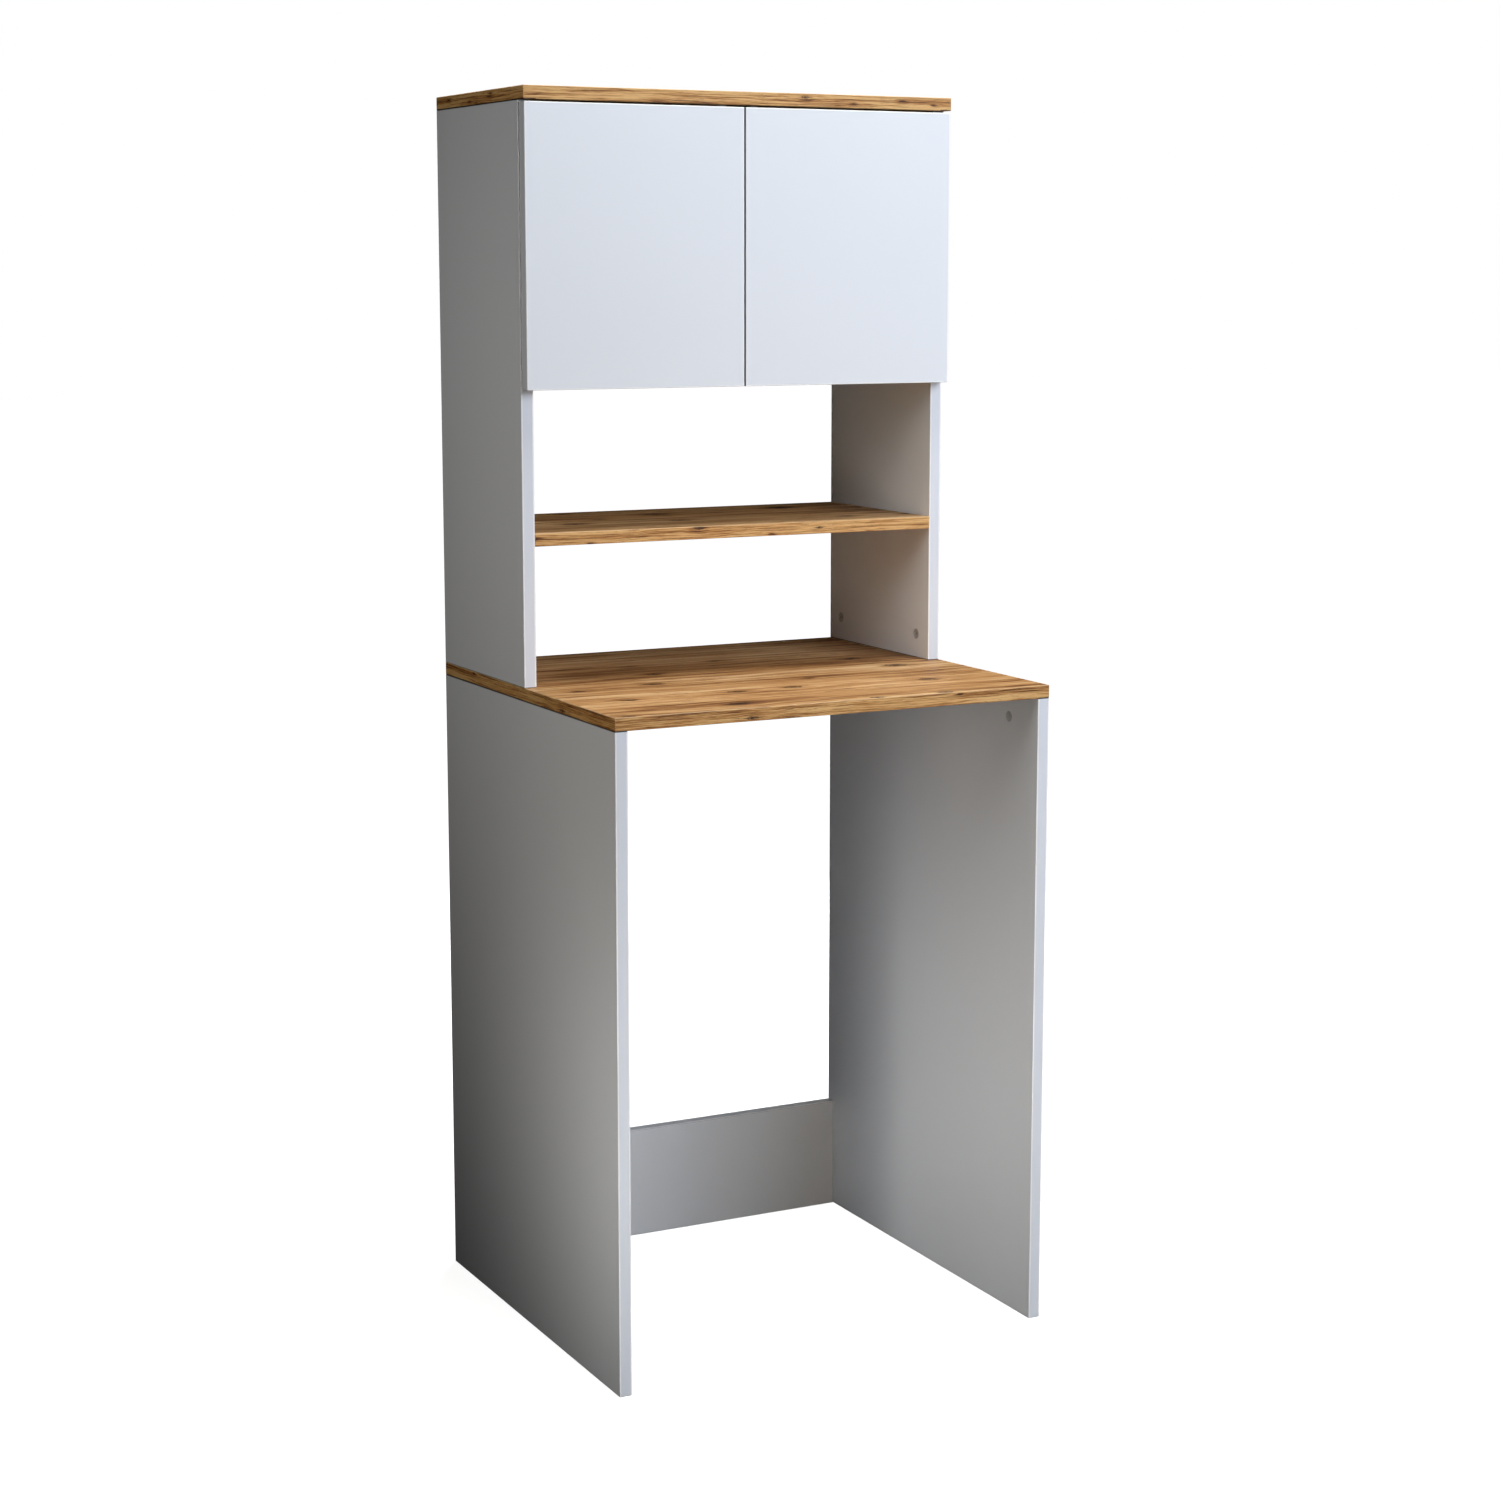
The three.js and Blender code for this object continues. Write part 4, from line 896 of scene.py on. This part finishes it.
def cam_bolt():
    start = -THREAD["length"]
    profile = [(start - 0.2, NECK_RADIUS)]
    for i in range(round(THREAD["length"] / THREAD["pitch"])):
        root = start + i * THREAD["pitch"]
        profile += [(root, BOLT_RADIUS), (root + THREAD["pitch"] / 2, THREAD["crest"])]
    profile += [(0.0, BOLT_RADIUS), (0.3, COLLAR_RADIUS), (1.3, COLLAR_RADIUS), (1.6, BOLT_RADIUS)]
    for before_end, radius in ((5.5, BOLT_RADIUS), (5.0, NECK_RADIUS), (3.0, NECK_RADIUS), (2.4, HEAD_RADIUS),
                               (0.6, HEAD_RADIUS), (0.0, HEAD_END)):
        profile.append((CAM_REACH - before_end, radius))
    bolt = place_at(turned(profile, sides=20), TO_X)
    only(bolt)
    bpy.ops.object.shade_smooth_by_angle(angle=math.radians(60))
    return bolt


def cam_lock():
    return as_one(place_at(cam_body(), at(CAM_REACH, 0, 0)), cam_bolt())


def joint_frame(origin, forward, side):
    """A joint's place: X runs into the edge, and Z to the side where the cam is seen."""
    x, z = Vector(forward), Vector(side)
    y = z.cross(x)
    turn = Matrix((x, y, z)).transposed().to_4x4()
    return at(*origin) @ turn


BASE_CAM_INSET, UPPER_CAM_INSET = 75.0, 35.0
SIDE_MID, RAIL_MID = OUTER_X - BOARD_MID, BACK_Y - BOARD_MID
UP, UNDER, BACKWARD = (0, 0, 1), (0, 0, -1), (0, 1, 0)
joints = {}
for hand, sign in (("left", -1), ("right", 1)):
    inward = (-sign, 0, 0)
    joints[f"rail_{hand}"] = joint_frame((sign * INNER_X, RAIL_MID, RAIL_TOP / 2), inward, BACKWARD)
    for end, base_y, upper_y in (("front", FRONT_Y + BASE_CAM_INSET, UPPER_FRONT_Y + UPPER_CAM_INSET),
                                 ("back", BACK_Y - BASE_CAM_INSET, BACK_Y - UPPER_CAM_INSET)):
        spot = f"{hand}_{end}"
        joints[f"worktop_{spot}"] = joint_frame((sign * SIDE_MID, base_y, BASE_TOP), UNDER, inward)
        joints[f"foot_{spot}"] = joint_frame((sign * SIDE_MID, upper_y, WORKTOP_TOP), UP, inward)
        joints[f"top_{spot}"] = joint_frame((sign * SIDE_MID, upper_y, UPPER_TOP), UNDER, inward)
        for name, underside in (("shelf", SHELF_Z), ("floor", CUPBOARD_Z)):
            middle = (sign * INNER_X, upper_y, underside + BOARD_MID)
            joints[f"{name}_{spot}"] = joint_frame(middle, inward, UNDER)
lock = cam_lock()
for spot, matrix in joints.items():
    stand_in(copy_at(lock, matrix), f"cam_lock_{spot}", zinc)
print("cam locks:", len(joints), "of", len(lock.data.polygons), "faces")
bpy.data.objects.remove(lock)

# %% [markdown]
# ## Push latches
#
# The doors have no handles. Pressing one frees a sprung plunger in a plastic latch under the top board, and
# the plunger pushes the door open by its small steel strike plate. The housings keep the exact solid's shape
# with rounded edges and get real screw heads, and the plungers are turned anew with a soft round tip.

# %% Latches, plungers and strike plates
LATCH_X, LATCH_UNDERSIDE = 24.0, 1704.0
LATCH_SCREW_Y, LATCH_SCREW_STEP = 36.0, 11.0
STRIKE_SCREW_Y, STRIKE_SCREW_Z = -2.5, 1685.0
PLUNGER_TIP_Y, PLUNGER_Z, PLUNGER_RADIUS = -2.2, 1698.5, 4.0
PLUNGER = [  # distance from the tip, and radius: a straight stem, a ring groove, and a soft round tip
    (-45.0, 3.6), (-44.6, PLUNGER_RADIUS), (-4.0, PLUNGER_RADIUS), (-3.7, 3.75), (-2.9, 3.75),
    (-2.6, PLUNGER_RADIUS), (-1.4, PLUNGER_RADIUS), (-0.6, 3.6), (-0.15, 2.7), (0.0, 1.4)]
for hand, sign in (("left", -1), ("right", 1)):
    x = sign * LATCH_X
    places = (x - LATCH_SCREW_STEP, x + LATCH_SCREW_STEP)
    screws = [("latch", at(place, LATCH_SCREW_Y, LATCH_UNDERSIDE) @ DOWN) for place in places]
    latch = ease_edges(solid_copy(f"push_latch_{hand}", Matrix.Identity(4), screws), 0.5)
    stand_in(with_screws(latch, screws), f"push_latch_{hand}", plastic)
    stem = turned(PLUNGER, sides=40)
    only(stem)
    bpy.ops.object.shade_smooth_by_angle(angle=math.radians(35))
    to_front = at(x, PLUNGER_TIP_Y, PLUNGER_Z) @ Matrix.Rotation(math.radians(90), 4, "X")
    stand_in(place_at(stem, to_front), f"latch_plunger_{hand}", plastic)
    strike_screw = [("cup", at(x, STRIKE_SCREW_Y, STRIKE_SCREW_Z) @ TO_Y)]
    strike = ease_edges(solid_copy(f"strike_plate_{hand}", Matrix.Identity(4), strike_screw), 0.2)
    stand_in(with_screws(strike, strike_screw), f"strike_plate_{hand}", zinc)
print("latch pieces: 6")

# %% [markdown]
# ## Back panel
#
# The cupboard's back is a sheet of 3 mm hardboard nailed into the rear edges. A nail hammered flush leaves a
# shallow dish round its head, so the copy of the panel is carved with one flat cone for each nail, and the
# heads are turned once and set in the dishes.

# %% Back panel and nails
NAIL_END, NAIL_PITCH, BACK_THICK = 25.0, 130.0, 3.0
BACK_LOW, BACK_HIGH = CUPBOARD_Z + BOARD_MID, UPPER_TOP + BOARD_MID
NAIL_DISH = [(-0.55, 2.2), (-0.25, 2.6), (0.5, 4.2)]  # height from the panel's face, and radius
NAIL_HEAD = [(-0.75, 2.0), (-0.3, 2.1), (-0.15, 2.0), (-0.08, 1.3)]


def spread(low, high, pitch):
    steps = math.ceil((high - low) / pitch)
    return [low + i * (high - low) / steps for i in range(steps + 1)]


nail_places = [(sign * SIDE_MID, z) for sign in (-1, 1)
               for z in spread(BACK_LOW + NAIL_END, BACK_HIGH - NAIL_END, NAIL_PITCH)]
for x in spread(-(INNER_X - NAIL_END), INNER_X - NAIL_END, 2 * NAIL_PITCH):
    nail_places += [(x, (BACK_LOW + CUPBOARD_Z + BOARD) / 2), (x, (BACK_HIGH + UPPER_TOP) / 2)]
dishes, heads = [], []
dish = turned(NAIL_DISH, sides=24)
nail_head = turned(NAIL_HEAD, sides=24)
only(nail_head)
bpy.ops.object.shade_smooth_by_angle(angle=math.radians(40))
for x, z in nail_places:
    matrix = at(x, BACK_Y + BACK_THICK, z) @ TO_Y
    dishes.append(copy_at(dish, matrix))
    heads.append(copy_at(nail_head, matrix))
panel = carve(solid_copy("back_panel", Matrix.Identity(4)), as_one(*dishes))
stand_in(panel, "back_panel", hardboard)
nails = as_one(*heads)
nails.name = nails.data.name = "nail_heads"
nails.data.materials.append(zinc)
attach(nails, "carcass")
for pattern in (dish, nail_head, *screw_heads.values()):
    bpy.data.objects.remove(pattern)
print("nails:", len(nail_places))

# %% [markdown]
# ## Floor and light
#
# The photograph is a studio picture on white. Large soft lights stand in front of the cabinet and to its
# right, and another hangs over the worktop. Only three small ones with honeycomb grids reach the sides that
# face left, and a fourth shines into the bay. So the fronts are bright, the left sides are grey and fall off
# to a dark lower back corner, and the niche is dark behind. One more lamp stands behind on the right. It
# can't reach the faces that the photograph shows, and lights the back for those who walk round. The floor
# glows white by itself, with the faintest shadow under the cabinet, and it is hidden from everything but the
# camera, so that it throws no light up on the boards.

# %% Floor
FLOOR_SIDE = 60.0
# The strength of the glow by the distance from the cabinet's middle, in metres
GLOW = {"From Min": 0.5, "From Max": 1.6, "To Min": 0.9, "To Max": 1.0}
floor = primitive("plane", size=FLOOR_SIDE, location=(0, 0, 0))
floor.name = "floor"
floor_paint, floor_tree, floor_shader, floor_place = new_material("white_floor", Roughness=0.9)
floor_shader.inputs["Base Color"].default_value = colour("F4F4F4")
floor_shader.inputs["Emission Color"].default_value = colour("FFFFFF")
from_cabinet = add(floor_tree, "VectorMath", [floor_place], operation="LENGTH")
glow = add(floor_tree, "MapRange", {"Value": from_cabinet, **GLOW}, interpolation_type="SMOOTHSTEP")
fill(floor_tree, floor_shader.inputs["Emission Strength"], glow)
floor.data.materials.append(floor_paint)
floor.visible_diffuse = False
floor.visible_glossy = False

# %% World and lamps
# The faint light of the room, which comes from the right and from the front
ROOM = {"From Min": 0.1, "From Max": 1.1, "To Min": 0.0, "To Max": 0.12}
world = bpy.data.worlds.new("studio")
bpy.context.scene.world = world
world.use_nodes = True
air = world.node_tree
air.nodes.clear()
direction = add(air, "TexCoord").outputs["Generated"]
from_x, from_y, _ = add(air, "SeparateXYZ", [direction]).outputs
right_front = add(air, "Math", [from_y, -0.8, from_x], operation="MULTIPLY_ADD")
strength = add(air, "MapRange", {"Value": right_front, **ROOM})
soft = add(air, "Background", [colour("FFFBF6"), strength])
white = add(air, "Background", [colour("FFFFFF"), 1.0])
seen = add(air, "LightPath").outputs["Is Camera Ray"]
add(air, "OutputWorld", [add(air, "MixShader", [seen, soft, white])])

DAYLIGHT, LAMPLIGHT, BOUNCED = "EAF2FF", "FFFCF8", "FFE6C8"  # the bay's lamp is warm, as off the worktop


def lamp(name, place, target, size, power, tint, spread=180.0):
    """A square soft light: its place, what it points at and its side in metres, and its power in watts."""
    data = bpy.data.lights.new(name, "AREA")
    data.shape, data.size, data.energy = "SQUARE", size, power
    data.color = colour(tint)[:3]
    data.spread = math.radians(spread)
    thing = bpy.data.objects.new(name, data)
    thing.location = place
    thing.rotation_mode = "QUATERNION"
    thing.rotation_quaternion = (Vector(target) - Vector(place)).to_track_quat("-Z", "Y")
    thing.visible_camera = False
    bpy.context.scene.collection.objects.link(thing)
    return thing


lamp("key_high", (1.5, -3.2, 2.9), (0.0, 0.0, 1.0), 2.0, 83.0, DAYLIGHT)
lamp("key_low", (2.1, -2.4, 1.7), (0.1, 0.0, 1.0), 2.0, 34.0, DAYLIGHT)
lamp("overhead", (0.15, -0.2, 3.4), (0.15, -0.25, 0.9), 1.0, 52.0, "FFF9F0")
lamp("left_high", (-2.6, -0.6, 1.9), (-0.33, 0.0, 1.35), 0.8, 2.0, LAMPLIGHT, 60.0)
lamp("left_low", (-1.9, -1.5, 0.5), (-0.33, -0.46, 0.3), 0.5, 0.62, LAMPLIGHT, 28.0)
lamp("left_mid", (-2.2, -1.25, 0.95), (-0.1, -0.3, 0.8), 0.6, 0.28, "FFF0DE", 36.0)
lamp("into_bay", (-0.25, -2.3, 0.6), (0.2, -0.1, 0.45), 0.5, 0.64, BOUNCED, 56.0)
lamp("behind", (1.7, 2.5, 0.85), (0.0, 0.3, 1.2), 0.9, 34.0, "FFFDFA").visible_glossy = False
